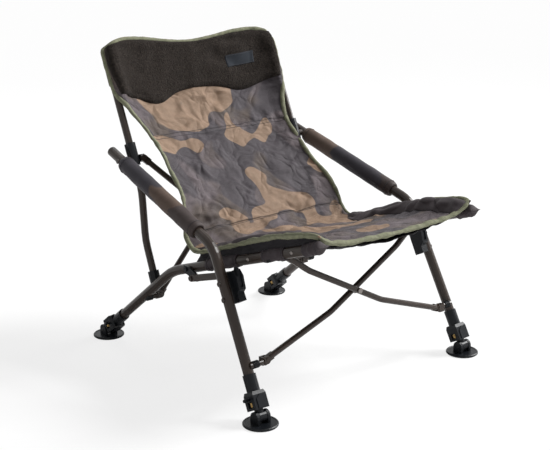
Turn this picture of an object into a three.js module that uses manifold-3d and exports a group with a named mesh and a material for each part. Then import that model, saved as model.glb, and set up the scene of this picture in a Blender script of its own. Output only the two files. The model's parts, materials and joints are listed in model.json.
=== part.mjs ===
// Low folding fishing chair: two side frames, two crossed brace pairs, a padded sling and four mud feet.
// Millimetres, +Z up, the sitter faces -Y. The origin is the middle of the base.
import * as THREE from 'three';
import { mergeVertices } from 'three/addons/utils/BufferGeometryUtils.js';
import Module from 'manifold-3d';

const wasm = await Module();
wasm.setup();

const degree = Math.PI / 180;
const clearance = 0.3;
const overrun = 2;
const chair = new THREE.Group();

// Finishes
const finishes = {
  taupe_tube: { color: 0x51463f, roughness: 0.5, metalness: 0.45 },
  black_plastic: { color: 0x1f2226, roughness: 0.45, metalness: 0 },
  camo_cloth: { color: 0x655a54, roughness: 0.9, metalness: 0 },
  fleece: { color: 0x2a2522, roughness: 1, metalness: 0 },
  dark_cloth: { color: 0x1c1b1d, roughness: 0.95, metalness: 0 },
  pad_neoprene: { color: 0x3d3636, roughness: 0.9, metalness: 0 },
  rivet_steel: { color: 0x6b6560, roughness: 0.4, metalness: 0.8 },
};

// Tube sizes
const frameTube = { radius: 11, bore: 9.3, sides: 14 };
const uprightTube = { radius: 8.25, sides: 12 };
const braceTube = { radius: 6.5, sides: 10 };
const bendStep = 9 * degree;

// Side rail and rear leg, in the side plane: y runs back, z runs up
const rail = {
  frontY: -356, frontZ: 361, kneeY: 92.7, kneeZ: 216.1, kneeRadius: 150,
  planeX: 233.1, splay: 0.0522, footY: 345,
};

// Armrest and front leg
const arm = {
  rearY: 278, rearZ: 454.54, cornerY: -115, cornerZ: 325.6, cornerRadius: 70,
  planeX: 276.8, toeIn: 0.0503, plugLength: 4, plugDome: 3,
};
const frontFootSpread = 12.4;
const frontFootY = -275;

// Arm pad
const pad = { radius: 19, startGap: 10, length: 302, edge: 3, sides: 16 };

// Leg lock, telescopic leg and mud foot
const lock = {
  sleeveRadius: 13.5, sleeveLength: 34, width: 32, depth: 32, length: 36, chamfer: 7,
  footGap: 14, pocketWidth: 15, pocketHeight: 12, pocketDepth: 4, pocketLift: 5, sides: 18,
  shieldWidth: 19, shieldHeight: 27, shieldProud: 1.6, shieldPoint: 8,
};
const innerLeg = { radius: 9, length: 205, barrelRadius: 11.5, barrelWidth: 17, sides: 14 };
const foot = {
  radius: 36, thickness: 6, rim: 1.6, dish: 1.2, pivotHeight: 18, cheekInner: 9.6, cheek: 6.4,
  cheekRadius: 12, pinRadius: 3, sides: 30, cheekSteps: 8,
};
const lockPin = { radius: 2.5, reach: 13, sunk: 5.5, lift: 22, headRadius: 3.4, headLength: 3, sides: 10 };

// Back upright, leaning back behind the arm
const upright = {
  footY: 167, footZ: 184, elbowY: 197.9, elbowZ: 262.6, elbowRadius: 120,
  neckY: 206.85, neckZ: 377, neckRadius: 150, topZ: 656, planeX: 235.5, lean: 0.44,
};
const socket = { radius: 12.5, length: 28, sides: 14 };
const collar = { radius: 12.6, below: 15, above: 36, sides: 16, flat: 0.25, lugWidth: 17, lugThickness: 3 };
const armPivot = { y: 234.7, bossRadius: 8, boltRadius: 5, boltHead: 2.4, sides: 14 };

// Crossed braces: pins at the side frames, a hidden bend below the crossing
const frontCross = {
  upperX: 190, upperY: -221.6, upperZ: 312.8, lowerX: 243.8, lowerY: -238, lowerZ: 110,
  share: 0.4579, bendX: 66, bendDrop: 34.5, highBendX: 132, highBendRise: 68.2,
};
const rearCross = {
  upperX: 214, lowerX: 208, lowerY: 181.9, lowerZ: 134.4, share: 0.5024,
  lowBendX: 95, lowBendDrop: 47, highBendX: 60, highBendRise: 13,
};
const brace = {
  offset: 7.25, eyeRadius: 7.8, eyeThickness: 6, pinRadius: 2.8, bendRadius: 90, eyeSides: 14,
  spacerThickness: 0.9, spacerRadius: 8, headRadius: 6, headLength: 2.2, neck: 9,
};
const fork = {
  cheek: 2.6, cheekRadius: 8.6, reach: 10, web: 3.4, stubRadius: 6, stubSides: 12, headRadius: 4.6,
  headLength: 1.6, backMargin: 6.6,
};

// Side stay and its quick catch
const stay = {
  height: 14, thickness: 7, rearY: -6, rearZ: 227, frontY: -150, frontZ: 269.7, innerX: 254.6,
  eyeHead: 2.2, eyeRadius: 5.5, sides: 12,
};
const stayBracket = {
  boltY: 25, boltRadius: 5, plate: 4.6, height: 15, ringSides: 18,
};
const catchBody = {
  innerX: 254.6, boltLow: 228, boltHigh: 257, boltRadius: 5, boltHead: 2, frontReach: 25, backReach: 9.5,
  footDrop: 12, topRise: 51, noseRise: 10, noseReach: 16, cheekWall: 5,
};
const trigger = { pivotRise: 19, pinRadius: 1.8, length: 34, tail: 3.4, thickness: 6, curl: 6, sides: 10 };

// Sling: paired places along its side edge and its centre line, front edge first
const slingPlaceShares = [
  // half width, edge y, edge z, centre y, centre z
  [0.8689, -1, 0.5647, -0.9858, 0.5147],
  [0.9262, -0.8523, 0.5559, -0.8438, 0.5044],
  [0.9426, -0.5767, 0.5162, -0.5682, 0.4765],
  [0.9467, -0.3551, 0.4735, -0.3466, 0.4515],
  [0.9508, -0.1761, 0.4382, -0.1761, 0.4338],
  [0.9508, -0.0227, 0.4118, -0.0398, 0.425],
  [0.9467, 0.0909, 0.4059, 0.0511, 0.4294],
  [0.9426, 0.1619, 0.4368, 0.1307, 0.4529],
  [0.9098, 0.1875, 0.4882, 0.2045, 0.4868],
  [0.8607, 0.2443, 0.5441, 0.2926, 0.5294],
  [0.8197, 0.3665, 0.5941, 0.4205, 0.5853],
  [0.8053, 0.4915, 0.6603, 0.5568, 0.6485],
  [0.8074, 0.6108, 0.7147, 0.6818, 0.7029],
  [0.9057, 0.733, 0.7956, 0.8239, 0.7794],
  [0.9918, 0.7898, 0.8471, 0.8949, 0.8324],
  [1.0082, 0.8381, 0.9029, 0.9403, 0.9],
  [1.0082, 0.9034, 0.9765, 0.9801, 0.9735],
  [0.9754, 0.9375, 1, 0.9886, 0.9926],
];
const sling = {
  halfWidth: 244, reach: 352, height: 680, edgeThickness: 4.6, midThickness: 12.4, endRun: 0.8,
  flatShare: 0.35, wallPower: 9, peakRise: 20, peakShare: 0.73, pocketBorder: 0.08, pocketPlace: 13,
  seamDip: 4, seamReach: 0.35, foldSeamPlace: 7, backSeamPlace: 12,
  bolster: 9, bolsterShare: 0.7, bolsterEnd: 6.2, bolsterRun: 1.6,
  foldHeight: 4.5, foldWidthShare: 0.42, foldSpreadShare: 2.2,
};
const slingFoldShares = [
  // where each main fold starts and ends, as a share of the half width and a place, and its height
  [-0.95, 9.2, -0.2, 10.7, 1],
  [0.95, 9.4, 0.15, 10.9, 0.9],
  [-0.8, 7.3, -0.15, 9, 0.8],
  [0.75, 7.4, 0.25, 9.1, 0.9],
  [-0.7, 3, 0.1, 4.7, 0.8],
  [0.6, 0.9, -0.15, 2.6, 0.8],
  [-0.85, 12.4, -0.25, 13.3, 0.6],
  [0.85, 12.4, 0.3, 13.4, 0.7],
];
const slingHalfColumnShares = [0.2, 0.4, 0.58, 0.72, 0.85, 0.95, 0.98, 1];
const slingRowPlaces = [
  0, 0.35, 0.7, 1, 1.5, 2, 3, 4, 5, 6, 6.5, 6.8, 7, 7.2, 7.6, 8.1, 8.8, 9.5, 10.3, 11.1, 11.7, 12,
  12.3, 12.8, 13.4, 14, 14.6, 15.3, 16, 17,
];
// The cloth turns back round each upright and closes behind it
const slingPocket = {
  wall: 2, turnShare: 0.955, turnDepth: 16, fromPlace: 13.3, run: 0.8, fromZ: 597, sides: 10,
};
const headPad = {
  gap: 0.5, thickness: 13, edgeThickness: 4, lowPlace: 14.1, wave: 0.9,
  wavePeakShare: 0.55, waveReachShare: 0.26, widthShare: 0.985, topShare: 0.992,
};
const headPadRowShares = [0, 0.08, 0.22, 0.45, 0.7, 0.88, 1];
const underlay = { gap: 0.5, thickness: 2, fromPlace: 0.35, toPlace: 6, widthShare: 0.75 };
const sleeve = { wall: 1.7, endWall: 1.8, finThickness: 2, finShift: 9, finTop: 21, sides: 16 };
const sleeveSpans = [
  { place: 'front', fromY: -355.42, toY: -318, closed: true },
  { place: 'middle', fromY: -266, toY: -204 },
  { place: 'rear', fromY: -129, toY: -31 },
];

// Solids
const lateral = new THREE.Vector3(1, 0, 0);
const at = (x, y, z) => new THREE.Vector3(x, y, z);

function solidOf(geometry) {
  const bare = geometry.clone();
  for (const name of Object.keys(bare.attributes)) if (name !== 'position') bare.deleteAttribute(name);
  const merged = mergeVertices(bare, 1e-4);
  return new wasm.Manifold(new wasm.Mesh({
    numProp: 3,
    vertProperties: new Float32Array(merged.attributes.position.array),
    triVerts: new Uint32Array(merged.index.array),
  }));
}

function geometryOf(solid) {
  const { vertProperties, triVerts } = solid.getMesh();
  const geometry = new THREE.BufferGeometry();
  geometry.setAttribute('position', new THREE.BufferAttribute(new Float32Array(vertProperties), 3));
  geometry.setIndex(new THREE.BufferAttribute(new Uint32Array(triVerts), 1));
  return geometry;
}

const join = (first, ...others) =>
  geometryOf(others.reduce((sum, next) => sum.add(solidOf(next)), solidOf(first)));
const cut = (body, ...tools) =>
  geometryOf(tools.reduce((rest, tool) => rest.subtract(solidOf(tool)), solidOf(body)));
const common = (body, tool) => geometryOf(solidOf(body).intersect(solidOf(tool)));

// A copy on the other side of the chair, with its triangles turned to face out again
function mirrored(geometry) {
  const copy = mergeVertices(geometry.clone(), 1e-4);
  copy.scale(-1, 1, 1);
  const order = copy.index.array;
  for (let i = 0; i < order.length; i += 3) [order[i], order[i + 1]] = [order[i + 1], order[i]];
  return copy;
}

function polygon(points) {
  return new THREE.Shape(points.map(([x, y]) => new THREE.Vector2(x, y)));
}

function roundShape(radius, sides) {
  const turn = (2 * Math.PI) / sides;
  return polygon(Array.from({ length: sides }, (_, i) =>
    [radius * Math.cos(i * turn), radius * Math.sin(i * turn)]));
}

// A plate: an outline in the XY plane, thick along Z from zero
const plate = (points, thickness) =>
  new THREE.ExtrudeGeometry(polygon(points), { depth: thickness, bevelEnabled: false });

const box = (width, depth, height) => new THREE.BoxGeometry(width, depth, height);

// A rod from one point to another
function rod(from, to, radius, sides) {
  const along = to.clone().sub(from);
  const geometry = new THREE.CylinderGeometry(radius, radius, along.length(), sides);
  const turn = new THREE.Quaternion().setFromUnitVectors(at(0, 1, 0), along.clone().normalize());
  geometry.applyQuaternion(turn);
  const middle = from.clone().add(to).multiplyScalar(0.5);
  return geometry.translate(middle.x, middle.y, middle.z);
}

// A path of straight runs joined by arcs, with its stations only where it needs them
class BentPath extends THREE.Curve {
  constructor(corners, radii = []) {
    super();
    this.stations = [];
    corners.forEach((corner, i) => {
      const before = corners[i - 1];
      const after = corners[i + 1];
      if (!before || !after) {
        const towards = before ? corner.clone().sub(before) : after.clone().sub(corner);
        this.stations.push({ point: corner, tangent: towards.normalize() });
        return;
      }
      const arriving = corner.clone().sub(before).normalize();
      const leaving = after.clone().sub(corner).normalize();
      const turn = arriving.angleTo(leaving);
      const radius = radii[i - 1];
      const setback = radius * Math.tan(turn / 2);
      const inward = leaving.clone().sub(arriving.clone().multiplyScalar(leaving.dot(arriving))).normalize();
      const start = corner.clone().addScaledVector(arriving, -setback);
      const steps = Math.max(2, Math.ceil(turn / bendStep));
      for (let k = 0; k <= steps; k++) {
        const angle = (turn * k) / steps;
        const point = start.clone()
          .addScaledVector(arriving, radius * Math.sin(angle))
          .addScaledVector(inward, radius * (1 - Math.cos(angle)));
        const tangent = arriving.clone().multiplyScalar(Math.cos(angle))
          .addScaledVector(inward, Math.sin(angle));
        this.stations.push({ point, tangent });
      }
    });
    this.steps = this.stations.length - 1;
  }
  station(t) {
    return this.stations[Math.round(THREE.MathUtils.clamp(t, 0, 1) * this.steps)];
  }
  getPoint(t, target = new THREE.Vector3()) {
    return target.copy(this.station(t).point);
  }
  getPointAt(t, target) {
    return this.getPoint(t, target);
  }
  getTangent(t, target = new THREE.Vector3()) {
    return target.copy(this.station(t).tangent);
  }
  getTangentAt(t, target) {
    return this.getTangent(t, target);
  }
}

const bentTube = (path, { radius, sides }) =>
  new THREE.ExtrudeGeometry(
    roundShape(radius, sides), { steps: path.steps, extrudePath: path, bevelEnabled: false });

// Puts a piece made round its own origin on an axis: its Z along up, its X as near lateral as it can be
function setOn(geometry, origin, up) {
  const z = up.clone().normalize();
  const x = lateral.clone().addScaledVector(z, -lateral.dot(z)).normalize();
  const frame = new THREE.Matrix4().makeBasis(x, z.clone().cross(x), z).setPosition(origin);
  return geometry.applyMatrix4(frame);
}

function piece(name, geometry, finish) {
  const material = new THREE.MeshStandardMaterial({ name: finish, ...finishes[finish] });
  const solid = new THREE.Mesh(geometry, material);
  solid.name = name;
  chair.add(solid);
}

function pair(name, geometry, finish) {
  piece(`${name}_right`, geometry, finish);
  piece(`${name}_left`, mirrored(geometry), finish);
}

// Places that the frames share
const railX = (y) => rail.planeX + rail.splay * y;
const railLean = (rail.frontZ - rail.kneeZ) / (rail.kneeY - rail.frontY);
const railZ = (y) => rail.frontZ - railLean * (y - rail.frontY);
const onRail = (y) => at(railX(y), y, railZ(y));
const rearPivot = at(railX(rail.footY), rail.footY, foot.pivotHeight);
const knee = onRail(rail.kneeY);
const rearLegUp = knee.clone().sub(rearPivot).normalize();
const onRearLeg = (y) =>
  rearPivot.clone().addScaledVector(rearLegUp, (y - rail.footY) / rearLegUp.y);

const armX = (y) => arm.planeX - arm.toeIn * y;
const armRise = (arm.rearZ - arm.cornerZ) / (arm.rearY - arm.cornerY);
const onArm = (y) => at(armX(y), y, arm.rearZ - armRise * (arm.rearY - y));
const armCorner = onArm(arm.cornerY);
const frontPivot = at(armCorner.x + frontFootSpread, frontFootY, foot.pivotHeight);
const frontLegUp = armCorner.clone().sub(frontPivot).normalize();
const onFrontLeg = (z) =>
  frontPivot.clone().addScaledVector(frontLegUp, (z - foot.pivotHeight) / frontLegUp.z);

const lockTop = lock.footGap + lock.length + lock.sleeveLength;
const tubeEnd = lock.footGap + lock.length + clearance;

const neck = at(upright.planeX, upright.neckY, upright.neckZ);
const onUpright = (z) => at(neck.x, neck.y + upright.lean * (z - neck.z), z);
const uprightUp = onUpright(upright.topZ).sub(neck).normalize();
const armPivotPoint = onArm(armPivot.y);
const collarCentre = onUpright(neck.z + (armPivot.y - neck.y) / upright.lean);

// Cross planes: X across the chair, h up the plane, n out of its front
function crossPlane(lower, upper, share) {
  const up = upper.clone().sub(lower).setX(0);
  const height = up.length();
  up.normalize();
  const centre = lower.clone().setX(0).addScaledVector(up, height * share);
  const normal = lateral.clone().cross(up);
  const frame = new THREE.Matrix4().makeBasis(lateral, up, normal).setPosition(centre);
  return { frame, low: -height * share, high: height * (1 - share), up, normal, centre };
}
const frontPlane = crossPlane(
  at(0, frontCross.lowerY, frontCross.lowerZ), at(0, frontCross.upperY, frontCross.upperZ),
  frontCross.share);
const rearPlane = crossPlane(
  at(0, rearCross.lowerY, rearCross.lowerZ), collarCentre.clone().setX(0), rearCross.share);

// Side rail with its rear leg, the leg bored for the telescopic tube and stubs for the braces
function sideRail() {
  const end = rearPivot.clone().addScaledVector(rearLegUp, tubeEnd);
  const front = onRail(sleeveSpans[0].fromY + sleeve.endWall + clearance);
  const tube = bentTube(new BentPath([front, knee, end], [rail.kneeRadius]), frameTube);
  const upperStub = stub(frontPlane, frontPlane.high, railX(frontCross.upperY), frontCross.upperX);
  const lowerStub = stub(rearPlane, rearPlane.low, railX(rearCross.lowerY), rearCross.lowerX);
  return cut(join(tube, upperStub, lowerStub), legBore(rearPivot, rearLegUp));
}

function legBore(pivot, up) {
  const from = pivot.clone().addScaledVector(up, tubeEnd - overrun);
  const to = pivot.clone().addScaledVector(up, innerLeg.length + overrun);
  return rod(from, to, frameTube.bore, innerLeg.sides);
}

// A stub that stands inboard from a tube to the back of a fork
function stub(plane, height, tubeX, pinX) {
  const level = at(0, height, 0).applyMatrix4(plane.frame);
  const forkX = pinX + fork.reach + fork.web + clearance;
  return rod(at(tubeX, level.y, level.z), at(forkX, level.y, level.z), fork.stubRadius, fork.stubSides);
}

function frontLegArm() {
  const end = frontPivot.clone().addScaledVector(frontLegUp, tubeEnd);
  const rear = onArm(arm.rearY);
  const tube = bentTube(new BentPath([rear, armCorner, end], [arm.cornerRadius]), frameTube);
  const lowStub = stub(frontPlane, frontPlane.low, onFrontLeg(frontCross.lowerZ).x, frontCross.lowerX);
  const bossFace = collarFlatX + clearance;
  const boss = rod(armPivotPoint, armPivotPoint.clone().setX(bossFace), armPivot.bossRadius, armPivot.sides);
  const headFace = armPivotPoint.x + frameTube.radius + armPivot.boltHead;
  const head = rod(armPivotPoint, armPivotPoint.clone().setX(headFace), armPivot.boltRadius, armPivot.sides);
  return cut(join(tube, lowStub, boss, head, ...boltHeads()), legBore(frontPivot, frontLegUp));
}

function armEndPlug() {
  const outline = [
    [0, 0], [frameTube.radius, 0], [frameTube.radius, arm.plugLength - arm.plugDome],
    [frameTube.radius - arm.plugDome, arm.plugLength], [0, arm.plugLength],
  ];
  const dome = new THREE.LatheGeometry(outline.map(([x, y]) => new THREE.Vector2(x, y)), frameTube.sides);
  const back = onArm(arm.rearY).sub(armCorner).normalize();
  dome.rotateX(Math.PI / 2);
  return setOn(dome, onArm(arm.rearY).addScaledVector(back, clearance), back);
}

// A foam sleeve on the arm, its ends rounded over
function armPad() {
  const outline = [
    [frameTube.radius + clearance, 0], [pad.radius - pad.edge, 0], [pad.radius, pad.edge],
    [pad.radius, pad.length - pad.edge], [pad.radius - pad.edge, pad.length],
    [frameTube.radius + clearance, pad.length], [frameTube.radius + clearance, 0],
  ];
  const tube = new THREE.LatheGeometry(outline.map(([x, y]) => new THREE.Vector2(x, y)), pad.sides);
  const forward = armCorner.clone().sub(onArm(arm.rearY)).normalize();
  tube.rotateX(Math.PI / 2);
  return setOn(tube, armPivotPoint.clone().addScaledVector(forward, pad.startGap), forward);
}

// Leg lock: a round sleeve over the tube above a chamfered block with a pocket in each side
function legLock(pivot, up) {
  const half = { w: lock.width / 2, d: lock.depth / 2 };
  const low = lock.footGap;
  const top = low + lock.length;
  const profile = [
    [-half.w, low], [half.w, low], [half.w, top - lock.chamfer], [lock.sleeveRadius, top],
    [-lock.sleeveRadius, top], [-half.w, top - lock.chamfer],
  ];
  const across = plate(profile, lock.depth).translate(0, 0, -half.d).rotateX(Math.PI / 2);
  const side = [
    [-half.d, low - overrun], [half.d, low - overrun], [half.d, top - lock.chamfer],
    [lock.sleeveRadius, top + overrun], [-lock.sleeveRadius, top + overrun], [-half.d, top - lock.chamfer],
  ];
  const along = plate(side, lock.width + overrun).translate(0, 0, -half.w - overrun / 2)
    .rotateX(Math.PI / 2).rotateZ(Math.PI / 2);
  const sleevePart = rod(at(0, 0, top - lock.chamfer), at(0, 0, lockTop), lock.sleeveRadius, lock.sides);
  const shieldOutline = [
    [-lock.shieldWidth / 2, 0], [lock.shieldWidth / 2, 0],
    [lock.shieldWidth / 2, lock.shieldHeight - lock.shieldPoint], [0, lock.shieldHeight],
    [-lock.shieldWidth / 2, lock.shieldHeight - lock.shieldPoint],
  ];
  const shield = plate(shieldOutline, lock.depth + 2 * lock.shieldProud)
    .translate(0, low + overrun, -half.d - lock.shieldProud).rotateX(Math.PI / 2);
  const body = join(common(across, along), sleevePart, shield);
  const tubeSpace = rod(
    at(0, 0, top), at(0, 0, lockTop + overrun), frameTube.radius + clearance, lock.sides);
  const legSpace = rod(
    at(0, 0, low - overrun), at(0, 0, top + overrun), innerLeg.radius + clearance, lock.sides);
  const pockets = [-1, 1].map((way) => box(2 * lock.pocketDepth, lock.pocketWidth, lock.pocketHeight)
    .translate(way * half.w, 0, low + lock.pocketLift + lock.pocketHeight / 2));
  const pinLevel = low + lockPin.lift;
  const pinSpace = rod(
    at(half.w - lockPin.sunk - overrun / 2, 0, pinLevel), at(half.w + overrun, 0, pinLevel),
    lockPin.radius + clearance, lockPin.sides);
  return setOn(cut(body, tubeSpace, legSpace, ...pockets, pinSpace), pivot.clone(), up);
}

// The sprung release pin that stands out of the lock's outer face
function releasePin(pivot, up) {
  const face = lock.width / 2;
  const level = lock.footGap + lockPin.lift;
  const shank = rod(
    at(face - lockPin.sunk, 0, level), at(face + lockPin.reach, 0, level), lockPin.radius, lockPin.sides);
  const knob = rod(
    at(face + lockPin.reach - lockPin.headLength, 0, level), at(face + lockPin.reach, 0, level),
    lockPin.headRadius, lockPin.sides);
  return setOn(join(shank, knob), pivot.clone(), up);
}

function telescopicLeg(pivot, up) {
  const tube = rod(at(0, 0, 0), at(0, 0, innerLeg.length), innerLeg.radius, innerLeg.sides);
  const barrelHalf = innerLeg.barrelWidth / 2;
  const barrel = rod(at(-barrelHalf, 0, 0), at(barrelHalf, 0, 0), innerLeg.barrelRadius, lock.sides);
  const hole = rod(
    at(-lock.width / 2, 0, 0), at(lock.width / 2, 0, 0), foot.pinRadius + 2 * clearance, innerLeg.sides);
  return setOn(cut(join(tube, barrel), hole), pivot.clone(), up);
}

// Mud foot: a dished disc with two cheeks and the pin that the leg turns on
function mudFoot(pivot) {
  const { radius, thickness, rim, dish } = foot;
  const outline = [
    [0, 0], [radius - rim, 0], [radius, rim], [radius, thickness - rim], [radius - rim, thickness],
    [radius - 2 * rim, thickness], [radius - 3 * rim, thickness - dish], [0, thickness - dish],
  ];
  const disc = new THREE.LatheGeometry(outline.map(([x, y]) => new THREE.Vector2(x, y)), foot.sides);
  disc.rotateX(Math.PI / 2);
  const rounds = Array.from({ length: foot.cheekSteps + 1 }, (_, i) => {
    const angle = (Math.PI * i) / foot.cheekSteps;
    return [foot.cheekRadius * Math.cos(angle), foot.pivotHeight + foot.cheekRadius * Math.sin(angle)];
  });
  const outlineOfCheek = [[-foot.cheekRadius, rim], [foot.cheekRadius, rim], ...rounds];
  const cheeks = [-1, 1].map((side) => plate(outlineOfCheek, foot.cheek)
    .rotateX(Math.PI / 2).rotateZ(Math.PI / 2)
    .translate(side > 0 ? foot.cheekInner : -foot.cheekInner - foot.cheek, 0, 0));
  const pin = rod(
    at(-foot.cheekInner - overrun, 0, foot.pivotHeight), at(foot.cheekInner + overrun, 0, foot.pivotHeight),
    foot.pinRadius, innerLeg.sides);
  return join(disc, ...cheeks, pin).translate(pivot.x, pivot.y, 0);
}

function backUpright() {
  const path = new BentPath([
    at(upright.planeX, upright.footY, upright.footZ),
    at(upright.planeX, upright.elbowY, upright.elbowZ),
    neck,
    onUpright(upright.topZ),
  ], [upright.elbowRadius, upright.neckRadius]);
  return bentTube(path, uprightTube);
}

function uprightSocket() {
  const footPoint = at(upright.planeX, upright.footY, upright.footZ);
  const up = at(upright.planeX, upright.elbowY, upright.elbowZ).sub(footPoint).normalize();
  const low = footPoint.clone().addScaledVector(up, -socket.length);
  const high = footPoint.clone().addScaledVector(up, socket.length / 2);
  const body = rod(low, high, socket.radius, socket.sides);
  const uprightSpace = rod(
    footPoint.clone().addScaledVector(up, -clearance), high.clone().addScaledVector(up, overrun),
    uprightTube.radius + clearance, uprightTube.sides);
  const below = onRearLeg(rail.footY);
  const railSpace = rod(below, knee, frameTube.radius + clearance, frameTube.sides);
  const slab = box(2 * socket.radius + overrun, 3 * socket.length, 3 * socket.length);
  const centre = onRearLeg(upright.footY);
  setOn(slab, centre, rearLegUp);
  const normal = at(0, -rearLegUp.z, rearLegUp.y).multiplyScalar(-1);
  slab.translate(...normal.multiplyScalar(-1.5 * socket.length).toArray());
  return cut(body, uprightSpace, railSpace, slab);
}

// Collar on the upright: flat where the arm swings past, with a lug for the rear brace
const collarFlatX = collarCentre.x + uprightTube.radius + clearance
  + collar.flat * (collar.radius - uprightTube.radius);
function armCollar(eyeZ) {
  const low = collarCentre.clone().addScaledVector(uprightUp, -collar.below);
  const high = collarCentre.clone().addScaledVector(uprightUp, collar.above);
  const body = rod(low, high, collar.radius, collar.sides);
  const from = rearCross.upperX - brace.eyeRadius;
  const lugZ = eyeZ - braceTube.radius - 2 * clearance - collar.lugThickness / 2;
  const lug = box(collarCentre.x - from, collar.lugWidth, collar.lugThickness)
    .translate((collarCentre.x + from) / 2, rearPlane.high, lugZ)
    .applyMatrix4(rearPlane.frame);
  const bore = rod(
    low.clone().addScaledVector(uprightUp, -overrun), high.clone().addScaledVector(uprightUp, overrun),
    uprightTube.radius + clearance, uprightTube.sides);
  const length = collar.below + collar.above;
  const outside = box(length, 2 * length, 2 * length)
    .translate(collarFlatX + length / 2, collarCentre.y, collarCentre.z);
  return cut(join(body, lug), bore, outside);
}

// A brace bar in its cross plane: round between its ends, with a flat eye at each
function braceBar(corners, z, bendRadius, holeAtLow, holeAtHigh) {
  const points = corners.map(([x, h]) => at(x, h, z));
  const first = points[0];
  const last = points[points.length - 1];
  const inFrom = points[1].clone().sub(first).normalize();
  const inTo = points[points.length - 2].clone().sub(last).normalize();
  const start = first.clone().addScaledVector(inFrom, brace.neck);
  const end = last.clone().addScaledVector(inTo, brace.neck);
  const run = [start, ...points.slice(1, -1), end];
  const tube = bentTube(new BentPath(run, points.slice(1, -1).map(() => bendRadius)), braceTube);
  const half = brace.eyeThickness / 2;
  const eyes = [[first, inFrom], [last, inTo]].map(([centre, inward]) => {
    const round = rod(
      centre.clone().setZ(z - half), centre.clone().setZ(z + half), brace.eyeRadius, brace.eyeSides);
    const tongue = box(2 * brace.neck, 2 * brace.eyeRadius, brace.eyeThickness)
      .rotateZ(Math.atan2(inward.y, inward.x));
    const middle = centre.clone().addScaledVector(inward, brace.neck);
    tongue.translate(middle.x, middle.y, z);
    return join(round, tongue);
  });
  const through = (x, h) => rod(at(x, h, z - 2 * brace.offset), at(x, h, z + 2 * brace.offset),
    brace.pinRadius + clearance, brace.eyeSides);
  const holes = [through(0, 0)];
  if (holeAtLow) holes.push(through(first.x, first.y));
  if (holeAtHigh) holes.push(through(last.x, last.y));
  return cut(join(tube, ...eyes), ...holes);
}

function crossRivet(plane) {
  const reach = brace.offset + braceTube.radius + clearance;
  const shank = rod(at(0, 0, -reach), at(0, 0, reach), brace.pinRadius, brace.eyeSides);
  const spacerHalf = brace.spacerThickness / 2;
  const washer = rod(at(0, 0, -spacerHalf), at(0, 0, spacerHalf), brace.spacerRadius, brace.eyeSides);
  const heads = [-1, 1].map((side) => rod(
    at(0, 0, side * reach), at(0, 0, side * (reach + brace.headLength)), brace.headRadius, brace.eyeSides));
  return join(shank, washer, ...heads).applyMatrix4(plane.frame);
}

// A fork round a brace eye, swivelling on its stub: outboard is the way from the pin to the stub
function braceFork(plane, pinX, height, side, withPin) {
  const z = side * brace.offset;
  const inner = brace.eyeThickness / 2 + clearance;
  const web = box(fork.web, 2 * fork.cheekRadius, 2 * (inner + fork.cheek));
  web.translate(pinX + fork.reach + fork.web / 2, height, z);
  const back = box(fork.web, 2 * fork.stubRadius, brace.offset + fork.backMargin);
  back.translate(pinX + fork.reach + fork.web / 2, height, side * (brace.offset - fork.backMargin) / 2);
  const parts = [back];
  for (const face of [-1, 1]) {
    const low = z + (face > 0 ? inner : -inner - fork.cheek);
    const cheek = box(fork.reach + fork.web, 2 * fork.cheekRadius, fork.cheek)
      .translate(pinX + (fork.reach + fork.web) / 2, height, low + fork.cheek / 2);
    const round = rod(
      at(pinX, height, low), at(pinX, height, low + fork.cheek), fork.cheekRadius, brace.eyeSides);
    const headStart = face > 0 ? low + fork.cheek : low;
    const head = rod(
      at(pinX, height, headStart), at(pinX, height, headStart + face * fork.headLength),
      fork.headRadius, brace.eyeSides);
    parts.push(cheek, round, head);
  }
  if (withPin) {
    parts.push(rod(at(pinX, height, z - inner - clearance), at(pinX, height, z + inner + clearance),
      brace.pinRadius, brace.eyeSides));
  }
  return join(web, ...parts).applyMatrix4(plane.frame);
}

// Side stay: a flat oval bar hung on the catch, its rear eye beside the rail bracket
const stayShape = () => {
  const half = stay.height / 2;
  const length = Math.hypot(stay.frontY - stay.rearY, stay.frontZ - stay.rearZ);
  const steps = stay.sides / 2;
  const arc = (from) => Array.from({ length: steps + 1 }, (_, i) => from + (Math.PI * i) / steps);
  return [
    ...arc(-Math.PI / 2).map((a) => [length + half * Math.cos(a), half * Math.sin(a)]),
    ...arc(Math.PI / 2).map((a) => [half * Math.cos(a), half * Math.sin(a)]),
  ];
};
function stayBar(grow = 0) {
  const forward = at(0, stay.frontY - stay.rearY, stay.frontZ - stay.rearZ).normalize();
  const scale = 1 + (2 * grow) / stay.height;
  const blank = plate(stayShape().map(([x, y]) => [x, y * scale]), stay.thickness + 2 * grow);
  const up = lateral.clone().cross(forward);
  blank.translate(0, 0, -grow);
  const frame = new THREE.Matrix4().makeBasis(forward, up.clone().negate(), lateral.clone());
  if (frame.determinant() < 0) frame.makeBasis(forward, up, lateral.clone());
  frame.setPosition(at(stay.innerX, stay.rearY, stay.rearZ));
  return blank.applyMatrix4(frame);
}
function sideStay() {
  const eye = at(stay.innerX, stay.rearY, stay.rearZ);
  const outer = stay.innerX + stay.thickness;
  const head = rod(
    eye.clone().setX(outer), eye.clone().setX(outer + stay.eyeHead), stay.eyeRadius, stay.sides);
  return join(stayBar(), head);
}

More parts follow.
